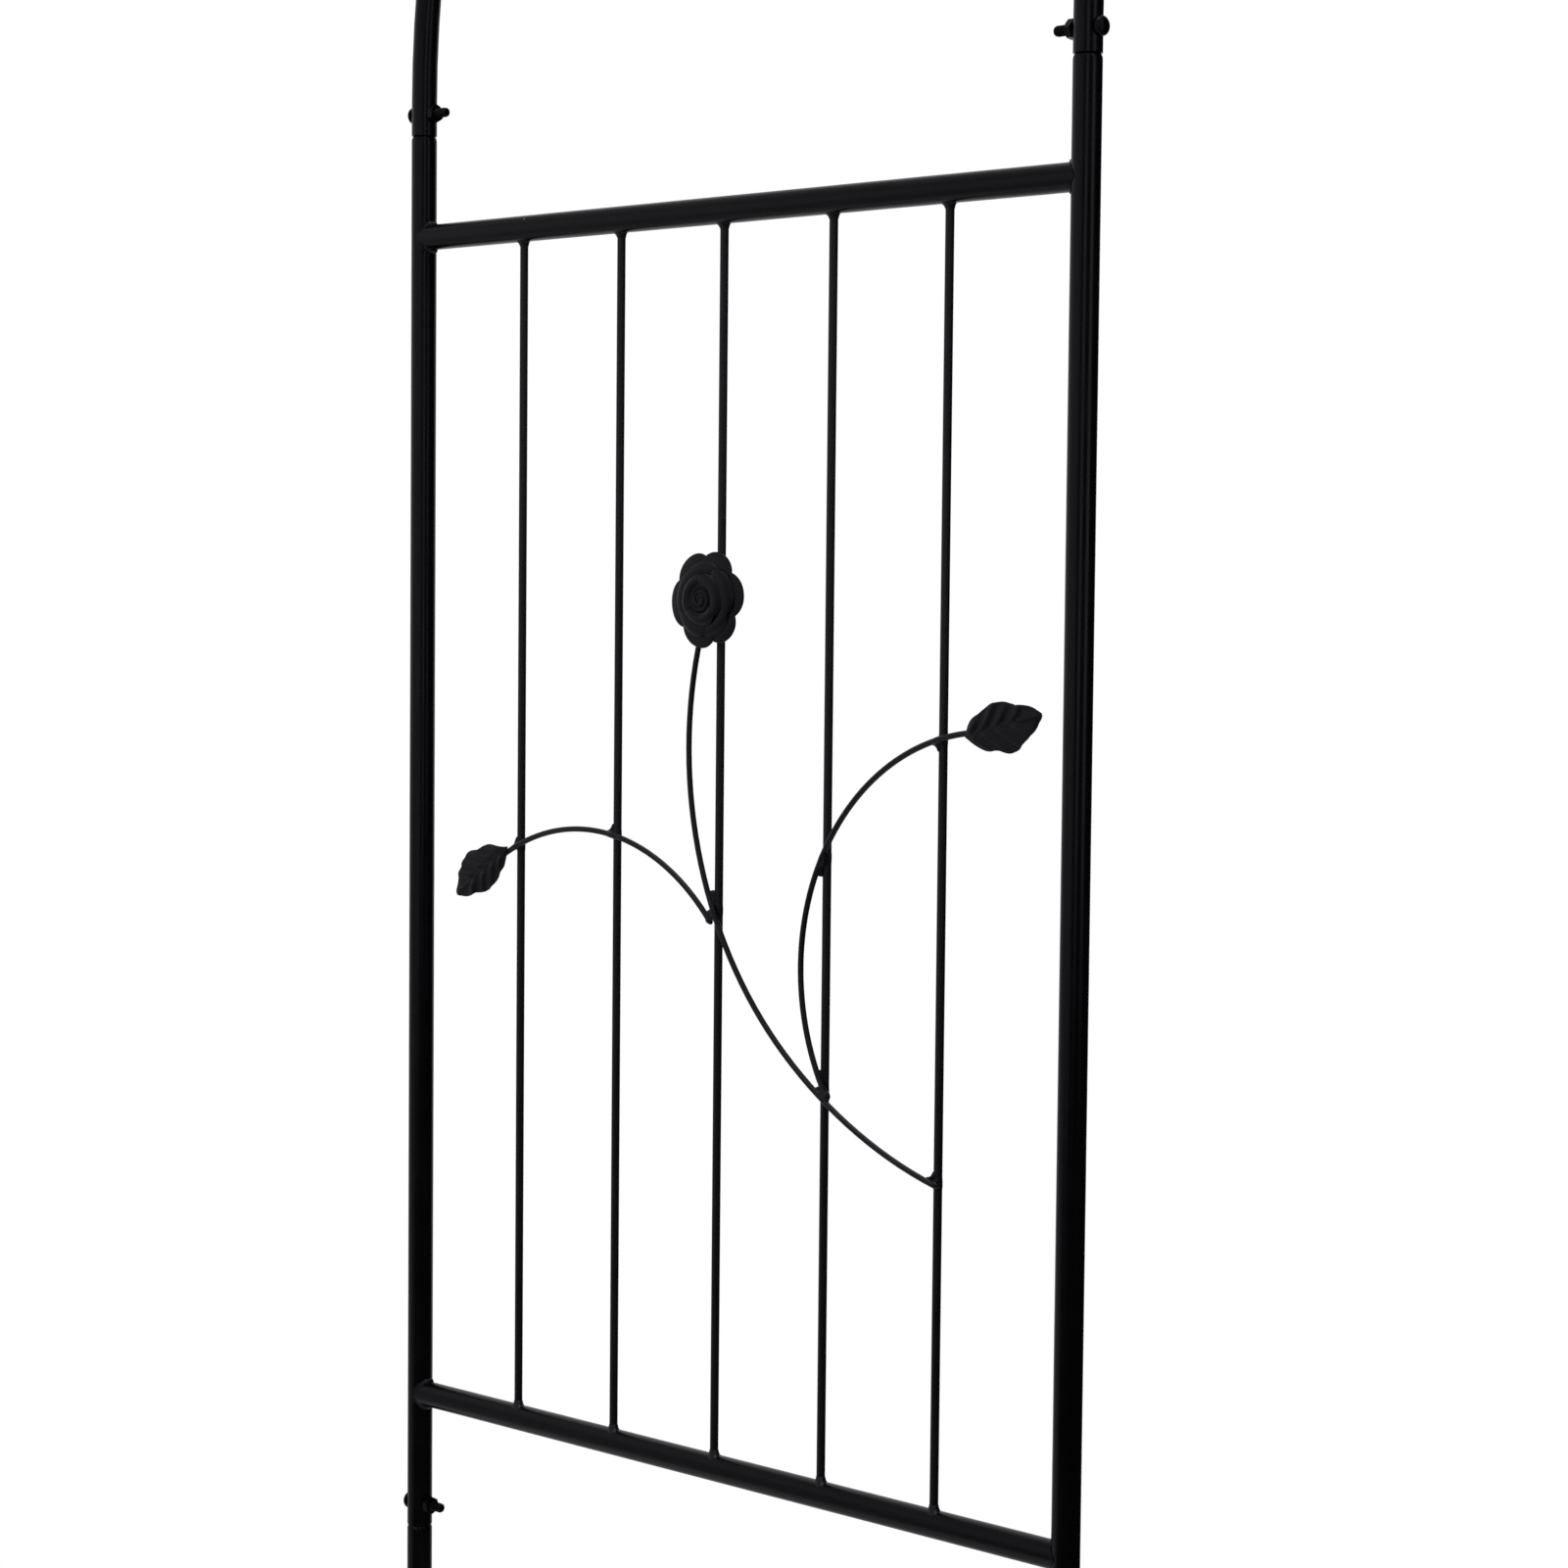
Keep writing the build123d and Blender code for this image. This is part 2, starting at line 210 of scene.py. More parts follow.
# Drawn tube is smooth under the coat, so it keeps long soft highlights
tube_coat = powder_coat("powder_coated_drawn_tube", "#030304", "#060607", rough=0.27, shine=0.115,
                        wave_mm=2.2, wave_depth_mm=0.008, chip_mm=0.5)
# Hot-rolled rod has scale under the coat, so it is a little duller
rod_coat = powder_coat("powder_coated_rolled_rod", "#050506", "#0A0A0C", rough=0.42, shine=0.22,
                       wave_mm=1.6, wave_depth_mm=0.007, chip_mm=0.4)
# Stamped sheet takes a thick dry coat, so the rose and leaves look nearly matt
sheet_coat = powder_coat("powder_coated_stamped_sheet", "#08080A", "#0D0D10", rough=0.42, shine=0.13,
                         wave_mm=1.2, wave_depth_mm=0.010, chip_mm=0.3)
# Coat over a weld follows its ripples and shines on their crests
weld_coat = powder_coat("powder_coated_weld_bead", "#060607", "#0B0B0D", rough=0.36, shine=0.20,
                        wave_mm=1.1, wave_depth_mm=0.030, chip_mm=0.2)
print("coats:", [m.name for m in (tube_coat, rod_coat, sheet_coat, weld_coat)])

# %% [markdown]
# The screws and nuts are steel that was blackened in a hot salt bath, which leaves a thin dark
# film over bare metal. It is still a metal to the eye: dark, with a broad soft shine, and a trace
# of grey where the tools rubbed.

# %% Blackened steel
RUB_MM = 1.5
RUB_DEPTH_MM = 0.01
blackened = bpy.data.materials.new("black_oxide_turned_steel")
blackened.use_nodes = True
tree = blackened.node_tree
tree.nodes.clear()
place = node(tree, "ShaderNodeTexCoord").outputs["Object"]
rub = node(tree, "ShaderNodeTexNoise", {"Vector": place, "Scale": 1 / (RUB_MM * MM), "Detail": 4.0})
film = node(tree, "ShaderNodeMix",
            {0: rub.outputs["Fac"], 6: linear("#0C0C0D"), 7: linear("#1E1E20")}, data_type="RGBA")
worn = node(tree, "ShaderNodeMapRange", {"Value": rub.outputs["Fac"], "To Min": 0.5, "To Max": 0.3})
grain = node(tree, "ShaderNodeBump",
             {"Height": rub.outputs["Fac"], "Strength": 1.0, "Distance": RUB_DEPTH_MM * MM})
steel = node(tree, "ShaderNodeBsdfPrincipled", {
    "Base Color": film.outputs[2], "Roughness": worn.outputs["Result"],
    "Normal": grain.outputs["Normal"], "Metallic": 1.0})
node(tree, "ShaderNodeOutputMaterial", {"Surface": steel.outputs["BSDF"]})
print("fasteners:", blackened.name)

# %% [markdown]
# The CAD pieces keep their shapes and only change their finish. Each carries the name of its
# material slot from the record, so the right coat is found by that name.

# %% Coat the CAD pieces
COATS = {"coated_tubes": tube_coat, "coated_rods": rod_coat, "coated_stampings": sheet_coat,
         "blackened_fasteners": blackened}
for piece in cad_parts.values():
    for held in piece.material_slots:
        held.material = COATS[held.material.name]
print("coated", len(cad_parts), "CAD pieces")

# %% [markdown]
# Each rail was cut to fit round its post and welded above and below. A weld bead is a row of
# small frozen puddles that bulges in the corner and thins out at its ends. It could be a bevelled
# curve, but a stretched ball is closed and rounded at both ends from the start: each of its rings
# is moved to a point of the seam and swollen to the bead's size.

# %% Weld bead along a seam
LUMPS, RIPPLE = 3, 0.16
BEAD_BLUNT = 0.6
BEAD_FLAT = 1.3
BEAD_HALF_TURN = 44
SEAM_LIFT = 0.2 * MM
NEAR = 0.02


def bead(seam, out, height, width, ripple=0):
    """A closed bead on a curve seam(0..1), as high as height along out and as wide as width."""
    bpy.ops.object.select_all(action="DESELECT")
    bpy.ops.mesh.primitive_uv_sphere_add(segments=12, ring_count=20, radius=1)
    drop = bpy.context.object
    for vertex in drop.data.vertices:
        share = math.acos(max(-1.0, min(1.0, vertex.co.z))) / math.pi
        onward = (seam(min(share + NEAR, 1.0)) - seam(max(share - NEAR, 0.0))).normalized()
        rise = (out - out.dot(onward) * onward).normalized()
        side = onward.cross(rise)
        lumpy = 1 + ripple * math.cos(2 * LUMPS * math.pi * share)
        swell = math.sin(math.pi * share) ** BEAD_BLUNT * lumpy
        around = math.atan2(vertex.co.y, vertex.co.x)
        section = height * math.cos(around) * rise + width * math.sin(around) * side
        vertex.co = seam(share) + swell * section
    return drop


def seam_bead(corner, axis, inward, size):
    """A bead where a cross tube that runs inward meets another, on the side that axis points to."""
    across = axis.cross(inward)

    def seam(share):
        turn = math.radians(BEAD_HALF_TURN * (2 * share - 1))
        reach = (TUBE_R + SEAM_LIFT) * math.cos(turn)
        return corner + TUBE_R * math.sin(turn) * across + reach * (inward + axis)
    return bead(seam, inward + axis, size, BEAD_FLAT * size, RIPPLE)


print("a seam's bead covers", 2 * BEAD_HALF_TURN, "degrees of the tube")

# %% [markdown]
# Every new piece is finished in the same way: its shapes are joined, its faces are turned outwards
# and smoothed, and it gets its coat and rides on the arch. The arch looks the same when it is turned
# half round, so a piece of the left side is modelled once, and a copy of it is turned to the right.

# %% Finish a piece and its twin
def keep_only(shape):
    """Select one shape and make it active."""
    bpy.ops.object.select_all(action="DESELECT")
    shape.select_set(True)
    bpy.context.view_layer.objects.active = shape


def finished(name, drops, coat, angle=40):
    """Join shapes into one named piece: faces outwards, smooth, coated and riding on the arch."""
    bpy.ops.object.select_all(action="DESELECT")
    for drop in drops:
        drop.select_set(True)
    bpy.context.view_layer.objects.active = drops[0]
    if len(drops) > 1:
        bpy.ops.object.join()
    piece = bpy.context.object
    piece.name = name
    bpy.ops.object.mode_set(mode="EDIT")
    bpy.ops.mesh.select_all(action="SELECT")
    bpy.ops.mesh.normals_make_consistent(inside=False)
    bpy.ops.object.mode_set(mode="OBJECT")
    bpy.ops.object.shade_smooth_by_angle(angle=math.radians(angle))
    piece.data.materials.clear()
    piece.data.materials.append(coat)
    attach(piece, "root")
    return piece


def opposite(piece, name):
    """The same piece turned half round the arch's middle to its other side, with its own mesh."""
    twin = piece.copy()
    twin.data = piece.data.copy()
    twin.name = name
    bpy.context.collection.objects.link(twin)
    twin.parent = None
    twin.data.transform(Matrix.Rotation(math.pi, 4, "Z"))
    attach(twin, "root")
    return twin


print("finishes:", ", ".join(COATS))

# %% [markdown]
# The back post got more metal than the front one, and there the coat has also run into the rest of
# the seam and blurs it. The tubes are CAD pieces and stay as they are, so they can't be filleted.
# A ring is bent to the seam instead: half of it becomes a thin hollow skin from rail to post, and
# the other half sinks out of sight.

# %% Rail welds and filled seams
UP = Vector((0, 0, 1))
TO_BACK = Vector((0, 1, 0))
TO_FRONT = Vector((0, -1, 0))
RUN_ON_RAIL = 3.2 * MM
RUN_ON_POST = 3.0 * MM
LEAST_RUN, RUN_RISE = 0.1, 1.6
SEAM_DEPTH = 0.15 * MM
SKIN = 0.015 * MM
TOO_SHORT = 0.02
RING_R = 2


def filled_seam(corner, inward):
    """A ring of coat that fills the seam between a post and a rail and runs out flush on both."""
    bpy.ops.object.select_all(action="DESELECT")
    bpy.ops.mesh.primitive_torus_add(major_segments=96, minor_segments=16,
                                     major_radius=RING_R, minor_radius=1)
    ring = bpy.context.object
    across = UP.cross(inward)
    for vertex in ring.data.vertices:
        # The turn leads round the rail; the share goes from rail to post outside, and back inside
        turn = math.atan2(vertex.co.y, vertex.co.x)
        share = math.atan2(vertex.co.z, math.hypot(vertex.co.x, vertex.co.y) - RING_R) / math.pi
        post_out = math.sin(turn) * across + abs(math.cos(turn)) * inward
        rail_out = math.sin(turn) * across + math.cos(turn) * UP
        seam = corner + TUBE_R * (rail_out + abs(math.cos(turn)) * inward)
        onto_post = rail_out - rail_out.dot(post_out) * post_out
        onto_post = onto_post.normalized() if onto_post.length > TOO_SHORT else -inward
        # The two tubes are flush at the rail's sides, so the coat runs least there
        run = max(LEAST_RUN, min(1.0, RUN_RISE * math.sqrt(abs(math.cos(turn)))))
        first = seam + run * RUN_ON_RAIL * inward
        last = seam + run * RUN_ON_POST * onto_post
        spoke = last - corner
        spoke.z = 0
        last += (TUBE_R - spoke.length) * spoke.normalized()
        # Outside, the coat bends over the seam and stays a skin above both tubes; inside, it sinks in
        if share >= 0:
            curve = first.lerp(seam, share).lerp(seam.lerp(last, share), share)
            for axis in (UP, inward):
                spoke = curve - corner
                spoke -= spoke.dot(axis) * axis
                curve += max(0.0, TUBE_R + SKIN - spoke.length) * spoke.normalized()
            vertex.co = curve
        else:
            under = first.lerp(last, -share).lerp(seam, math.sin(-math.pi * share))
            vertex.co = under - SEAM_DEPTH * (post_out + rail_out)
    return ring


FULL_BEAD = 1.9 * MM
SPARE_BEAD = 1.4 * MM
for rail, z in (("bottom_rail", BOTTOM_RAIL_Z), ("top_rail", TOP_RAIL_Z)):
    front = Vector((SIDE_X, FRONT_Y, z))
    back = Vector((SIDE_X, BACK_Y, z))
    drops = []
    for axis in (UP, -UP):
        drops.append(seam_bead(front, axis, TO_BACK, SPARE_BEAD))
        drops.append(seam_bead(back, axis, TO_FRONT, FULL_BEAD))
    welds = finished(f"left_{rail}_welds", drops, weld_coat)
    opposite(welds, f"right_{rail}_welds")
    ring = filled_seam(back, TO_FRONT)
    filled = finished(f"left_{rail}_filled_seam", [ring], tube_coat, angle=80)
    opposite(filled, f"right_{rail}_filled_seam")
print("rail welds:", len(welds.data.polygons), "faces to a rail")

# %% [markdown]
# The rungs over the passage are welded to the hoops in the same way. A hoop leans over more with
# each rung, so the seam is laid along the hoop's own direction there, square to the line from the
# hoop's centre.

# %% Rung welds
RUNGS = 3
for index in range(1, RUNGS + 1):
    rung = middle(f"left_rung_{index}")
    angle = math.radians(90 * index / (RUNGS + 1))
    hoop_way = Vector((math.sin(angle), 0, math.cos(angle)))
    drops = []
    for y, inward in ((FRONT_Y, TO_BACK), (BACK_Y, TO_FRONT)):
        corner = Vector((rung.x, y, rung.z))
        for axis in (hoop_way, -hoop_way):
            drops.append(seam_bead(corner, axis, inward, SPARE_BEAD))
    welds = finished(f"left_rung_{index}_welds", drops, weld_coat)
    opposite(welds, f"right_rung_{index}_welds")
print("rung welds:", len(welds.data.polygons), "faces to a rung")

# %% [markdown]
# A bar's end stands on a rail and is held by a small collar of weld, fuller on the side where the
# welder stood. A collar is round about the bar, so its half outline is drawn point by point and
# spun. Then its skirt is pulled down onto the round rail and out towards the fuller side.

# %% Turned shapes and bar welds
def turned(outline, steps):
    """A closed turned shape: an outline of (radius, height) points, spun round the Z axis."""
    bpy.ops.object.select_all(action="DESELECT")
    bpy.ops.mesh.primitive_plane_add(size=MM)
    shape = bpy.context.object
    bpy.ops.object.mode_set(mode="EDIT")
    bpy.ops.mesh.select_all(action="SELECT")
    bpy.ops.mesh.merge(type="CENTER")
    bpy.ops.transform.translate(value=(outline[0][0], 0, outline[0][1]))
    for (r0, z0), (r1, z1) in zip(outline, outline[1:]):
        bpy.ops.mesh.extrude_region_move(TRANSFORM_OT_translate={"value": (r1 - r0, 0, z1 - z0)})
    bpy.ops.mesh.select_all(action="SELECT")
    bpy.ops.mesh.spin(steps=steps, angle=2 * math.pi, center=(0, 0, 0), axis=(0, 0, 1))
    bpy.ops.mesh.select_all(action="SELECT")
    bpy.ops.mesh.remove_doubles(threshold=0.001 * MM)
    bpy.ops.mesh.normals_make_consistent(inside=False)
    bpy.ops.object.mode_set(mode="OBJECT")
    return shape


COLLAR_R, COLLAR_TOP, COLLAR_PULL = 4.3, 3.3, 2.6
COLLAR = [(0, -1.6), (4.0, -1.4), (COLLAR_R, -0.5), (3.8, 0.1), (3.25, 0.9), (2.9, 1.9), (2.7, 3.0),
          (2.3, COLLAR_TOP), (0, COLLAR_TOP)]
OUT_AND_FRONT = Vector((-0.75, -0.66, 0))


def bar_collar(y, rail_z, way, lean):
    """A weld collar on a bar: way is 1 on top of a rail and -1 under one."""
    collar = turned([(r * MM, z * MM) for r, z in COLLAR], 20)
    for vertex in collar.data.vertices:
        low = max(0.0, min(1.0, 1 - vertex.co.z / (COLLAR_TOP * MM)))
        wide = math.hypot(vertex.co.x, vertex.co.y) / (COLLAR_R * MM)
        toward = max(0.0, (vertex.co.x * lean.x + vertex.co.y * lean.y) / (COLLAR_R * MM))
        grow = low * wide * toward * COLLAR_PULL * MM
        x = vertex.co.x + grow * lean.x
        y_off = vertex.co.y + grow * lean.y
        height = vertex.co.z + math.sqrt(TUBE_R ** 2 - x ** 2)
        vertex.co = (SIDE_X + x, y + y_off, rail_z + way * height)
    return collar


drops = []
for y in BAR_YS:
    drops.append(bar_collar(y, BOTTOM_RAIL_Z, 1, OUT_AND_FRONT))
    drops.append(bar_collar(y, TOP_RAIL_Z, -1, TO_BACK))
welds = finished("left_bar_welds", drops, weld_coat)
opposite(welds, "right_bar_welds")
print("bar welds:", len(drops), "collars to a panel")

# %% [markdown]
# The vine is three bent rods. To find where a rod crosses a bar, the code walks along it as the
# bender fed it, round each arc, noting its place and heading every half millimetre.

# %% Walk along the vine
# A rod's start (y, z above the bottom rail), its first heading, and the (radius, turn) of its arcs
STEM = ((6.9, 510.5), -69.9, ((235.0, -68.4), (286.0, -26.5)))
BACK_BRANCH = ((177.2, 357.5), 151.6, ((142.0, 76.7),))
FRONT_BRANCH = ((-190.1, 444.1), -8.2, ((140.0, -113.0),))
STEP = 0.5


@functools.lru_cache
def walk(start, heading, bends):
    """Places (y, z) and headings along a vine rod, step by step, in millimetres and degrees."""
    y, z = start
    steps = []
    for radius, turn in bends:
        count = int(radius * math.radians(abs(turn)) / STEP)
        for _ in range(count):
            heading += turn / count
            y += STEP * math.cos(math.radians(heading))
            z += STEP * math.sin(math.radians(heading))
            steps.append((y, z, heading))
    return steps


def along(rod, fed):
    """The point of a rod after so many millimetres, going straight on past its end."""
    steps = walk(*rod)
    index = max(0, min(len(steps) - 1, int(fed / STEP)))
    y, z, heading = steps[index]
    past = fed - index * STEP
    y += past * math.cos(math.radians(heading))
    z += past * math.sin(math.radians(heading))
    return Vector((VINE_X, y * MM, BOTTOM_RAIL_Z + z * MM))


def length(rod):
    """Length of a rod in millimetres."""
    return len(walk(*rod)) * STEP


def crossing(rod, bar):
    """Millimetres along a rod to where it passes a bar."""
    steps = walk(*rod)
    bar_y = BAR_YS[bar - 1] / MM
    return min(range(len(steps)), key=lambda i: abs(steps[i][0] - bar_y)) * STEP


print("vine rods:", [length(rod) for rod in (STEM, BACK_BRANCH, FRONT_BRANCH)], "mm long")

# %% [markdown]
# A tack weld melts two rods together and fills the sharp corners between them. It could be drawn as
# a fillet, but molten metal is easier to copy: beads are laid over both rods and across the corners,
# the Remesh modifier wraps them in one skin, and Smooth draws that skin tight like a liquid.

# %% Molten metal
def melted(drops):
    """Beads that melt into one lump: wrapped in a fine skin, which is then drawn smooth."""
    keep_only(drops[0])
    for drop in drops:
        drop.select_set(True)
    bpy.ops.object.join()
    lump = bpy.context.object
    skin = lump.modifiers.new("skin", "REMESH")
    skin.mode = "VOXEL"
    skin.voxel_size = 0.4 * MM
    bpy.ops.object.modifier_apply(modifier="skin")
    calm = lump.modifiers.new("calm", "SMOOTH")
    calm.factor = 0.5
    calm.iterations = 12
    bpy.ops.object.modifier_apply(modifier="calm")
    return lump


def straight(first, last, out, radius):
    """A plain bead between two points."""
    return bead(lambda share: first.lerp(last, share), out, radius, radius)


OUT = Vector((-1, 0, 0))
DROP_START, DROP_LENGTH, DROP_SINK = -4.5, 7.1, 0.5 * MM
DROP_HEIGHT, DROP_WIDTH = 2.4 * MM, 2.2 * MM


def end_drop(rod):
    """A round drop of weld that the cut end of a rod drowns in."""
    start = length(rod) + DROP_START

    def seam(share):
        return along(rod, start + DROP_LENGTH * share) - DROP_SINK * OUT
    return bead(seam, OUT, DROP_HEIGHT, DROP_WIDTH)


BRIDGE_R = 1.5 * MM
BRIDGE_RUNGS = (0, 0.8, 1.6, 2.4, 3.2, 4.0)


def rod_bridge(rod, fed):
    """Rungs that close the corner between the end of a branch and the stem it lies beside."""
    end = along(rod, fed)
    steps = range(len(walk(*STEM)))
    on_stem = min(steps, key=lambda step: (along(STEM, step * STEP) - end).length) * STEP
    return [straight(along(rod, fed - back), along(STEM, on_stem - back), OUT, BRIDGE_R)
            for back in BRIDGE_RUNGS]


BAR_LAP, ROD_LAP = 12 * MM, 10
BAR_SLEEVE = BAR_R + 0.3 * MM
ROD_SLEEVE, ROD_SLEEVE_WIDTH = VINE_R + 0.4 * MM, VINE_R + 0.3 * MM
RUNGS_PER_MM, RUNG_R, RUNG_THINNING = 1.2, 1.7, 0.3
RUNG_LIFT, RUNG_SLANT = 1.0 * MM, 1.04
WEB_AHEAD, WEB_ASIDE, WEB_UP = 4, 1.6 * MM, 0.9 * MM
WEB_THREADS, THREAD_R = (0, 0.2, 0.4, 0.6, 0.8, 1), 1.3 * MM


def tack(rod, fed, bar, fills=(), webs=(), end=False):
    """The drops of a rod's weld to a bar. Fills and webs are (bar way, rod way, reach in mm)."""
    on_rod = along(rod, fed)
    on_bar = Vector((SIDE_X, BAR_YS[bar - 1], on_rod.z))
    drops = [straight(on_bar - BAR_LAP * UP, on_bar + BAR_LAP * UP, OUT, BAR_SLEEVE)]
    if end:
        drops.append(end_drop(rod))
    else:
        drops.append(bead(lambda share: along(rod, fed + ROD_LAP * (2 * share - 1)), OUT,
                          ROD_SLEEVE, ROD_SLEEVE_WIDTH))
    # A fill closes a narrow corner up to its reach, with a rung every millimetre or so
    for bar_way, rod_way, reach in fills:
        rungs = round(RUNGS_PER_MM * reach)
        for rung in range(1, rungs + 1):
            foot = on_bar + bar_way * reach * rung / rungs * MM * UP + RUNG_LIFT * OUT
            head = along(rod, fed + rod_way * reach * RUNG_SLANT * rung / rungs)
            drops.append(straight(foot, head, UP, (RUNG_R - RUNG_THINNING * rung / rungs) * MM))
    # A web rounds a wide corner: threads from far on the bar to near on the rod, and the other way
    for bar_way, rod_way, reach in webs:
        side = (along(rod, fed + WEB_AHEAD * rod_way) - on_rod).normalized()
        corner = on_bar.lerp(on_rod, 0.5) + WEB_ASIDE * side + WEB_UP * bar_way * UP
        for share in WEB_THREADS:
            foot = corner + bar_way * reach * share * MM * UP
            head = corner + reach * (1 - share) * MM * side
            drops.append(straight(foot, head, OUT, THREAD_R))
    return drops


print(f"weld over a bar {2000 * BAR_SLEEVE:.1f} mm thick, over a rod {2000 * ROD_SLEEVE:.1f} mm")

# %% [markdown]
# The stem passes bars 3 and 2 and ends on bar 1. The back branch passes bars 5 and 4, and ends
# beside the stem at bar 3. The front branch passes bars 1 and 2, and curves back to end beside the
# stem at bar 2. The welds at such an end touch each other, so they are melted into one lump.

# %% Vine welds
NEAR_END, BRIDGE_END = 1.5, 1
back_end = length(BACK_BRANCH)
front_end = length(FRONT_BRANCH)
by_bar_3 = tack(STEM, crossing(STEM, 3), 3, fills=[(1, -1, 11), (-1, 1, 6)])
by_bar_3 += [end_drop(BACK_BRANCH)] + rod_bridge(BACK_BRANCH, back_end - BRIDGE_END)
by_bar_2 = tack(STEM, crossing(STEM, 2), 2, fills=[(1, -1, 5), (-1, 1, 4)])
by_bar_2 += tack(FRONT_BRANCH, front_end - NEAR_END, 2, fills=[(1, -1, 13)], end=True)
by_bar_2 += rod_bridge(FRONT_BRANCH, front_end - BRIDGE_END)
drops = [
    melted(tack(BACK_BRANCH, crossing(BACK_BRANCH, 5), 5, webs=[(1, -1, 6)])),
    melted(tack(BACK_BRANCH, crossing(BACK_BRANCH, 4), 4, webs=[(1, -1, 6)])),
    melted(by_bar_3),
    melted(by_bar_2),
    melted(tack(FRONT_BRANCH, crossing(FRONT_BRANCH, 2), 2, fills=[(-1, 1, 10)])),
    melted(tack(FRONT_BRANCH, crossing(FRONT_BRANCH, 1), 1, webs=[(-1, 1, 6)])),
    melted(tack(STEM, length(STEM) - NEAR_END, 1, webs=[(1, -1, 6)], end=True)),
]
welds = finished("left_vine_welds", drops, weld_coat)
opposite(welds, "right_vine_welds")
print("vine welds:", len(drops), "to a panel,", len(welds.data.polygons), "faces")

# %% [markdown]
# The leaves are pressed from sheet steel in a die: a wavy edge, a low midrib, and broad rounded
# side veins. A flat grid is enough to start from, because a pressed leaf is one sheet. Its outline
# and its die are written first, as two functions in millimetres.

# %% Leaf outline and die
LEAF_LENGTH = 55.2
TIP_SHARE = 0.95
# Each side's lobe ends (share of the length, half width), how far the lobes bulge, and its veins
NARROW_SIDE = ((0.0, 1.2), (0.26, 10.2), (0.71, 8.5), (TIP_SHARE, 2.8))
NARROW_BULGE = (2.0, 3.7, 1.4)
NARROW_VEINS = (5.0, 14.0, 24.0, 35.0)
NARROW_LEAN = math.radians(50)
WIDE_SIDE = ((0.0, 1.2), (0.44, 13.8), (0.745, 11.8), (TIP_SHARE, 3.8))
WIDE_BULGE = (3.0, 3.2, 1.2)
WIDE_VEINS = (4.0, 13.0, 23.0, 34.0)
WIDE_LEAN = math.radians(40)
FIRST_LOBE, NEXT_LOBES = 1.9, 0.9


def half_leaf(share, ends, bulges):
    """Half width in millimetres at a share of the length: lobe after lobe, then a round tip."""
    for (u0, w0), (u1, w1), bulge in zip(ends, ends[1:], bulges):
        if share <= u1:
            part = (share - u0) / (u1 - u0)
            swell = math.sin(math.pi * part) ** (FIRST_LOBE if u0 == 0 else NEXT_LOBES)
            return w0 + (w1 - w0) * part + bulge * swell
    past = (share - TIP_SHARE) / (1 - TIP_SHARE)
    return ends[-1][1] * math.sqrt(max(0.0, 1 - past))


CROWN, MIDRIB, MIDRIB_WIDTH = 0.7, 0.45, 1.3
VEIN, VEIN_WIDTH, VEIN_START, VEIN_FADE = 1.5, 2.3, 3, 0.4
EDGE_WAVE, EDGE_WAVES = 0.5, 3
LEAF_LIFT, TIP_RUN = 0.7, 4
STALK_SINK, STALK_RUN = 1.8, 7


def relief(run, across, edge, veins, lean):
    """Height of the die in millimetres at a point; edge is its share of the leaf's half width."""
    height = CROWN * (1 - edge ** 2) + MIDRIB * math.exp(-(across / MIDRIB_WIDTH) ** 2)
    for start in veins:
        off = (run - start) * math.sin(lean) - across * math.cos(lean)
        ridge = VEIN * math.exp(-(off / VEIN_WIDTH) ** 2)
        height += ridge * min(1.0, across / VEIN_START) * (1 - VEIN_FADE * edge ** 4)
    height += EDGE_WAVE * edge ** 3 * math.sin(run / LEAF_LENGTH * 2 * EDGE_WAVES * math.pi)
    sink = STALK_SINK * max(0.0, 1 - run / STALK_RUN) ** 2
    return LEAF_LIFT + height * min(1.0, (LEAF_LENGTH - run) / TIP_RUN) - sink


shares = [step / 100 for step in range(101)]
widths = [half_leaf(share, NARROW_SIDE, NARROW_BULGE) + half_leaf(share, WIDE_SIDE, WIDE_BULGE)
          for share in shares]
print(f"leaf: {LEAF_LENGTH} mm long, {max(widths):.1f} mm wide")

# %% [markdown]
# The grid's columns run from the stalk to the tip and its rows across. Each point is moved to its
# place on the outline and then raised by the die's relief. Solidify gives the sheet its thickness.
# The two halves of a leaf differ, and all the leaves come from one die.

# %% Pressed leaves
GAP = 0.3 * MM
ORNAMENT_X = VINE_X - VINE_R - GAP
LEAF_THICK = 1.0


def thickened(sheet, thick):
    """Give a sheet its thickness in millimetres, half of it to each side."""
    gauge = sheet.modifiers.new("gauge", "SOLIDIFY")
    gauge.thickness = thick * MM
    gauge.offset = 0
    bpy.ops.object.modifier_apply(modifier="gauge")


TIP_CROWDING = 1.3
LEAST_HALF = 0.2


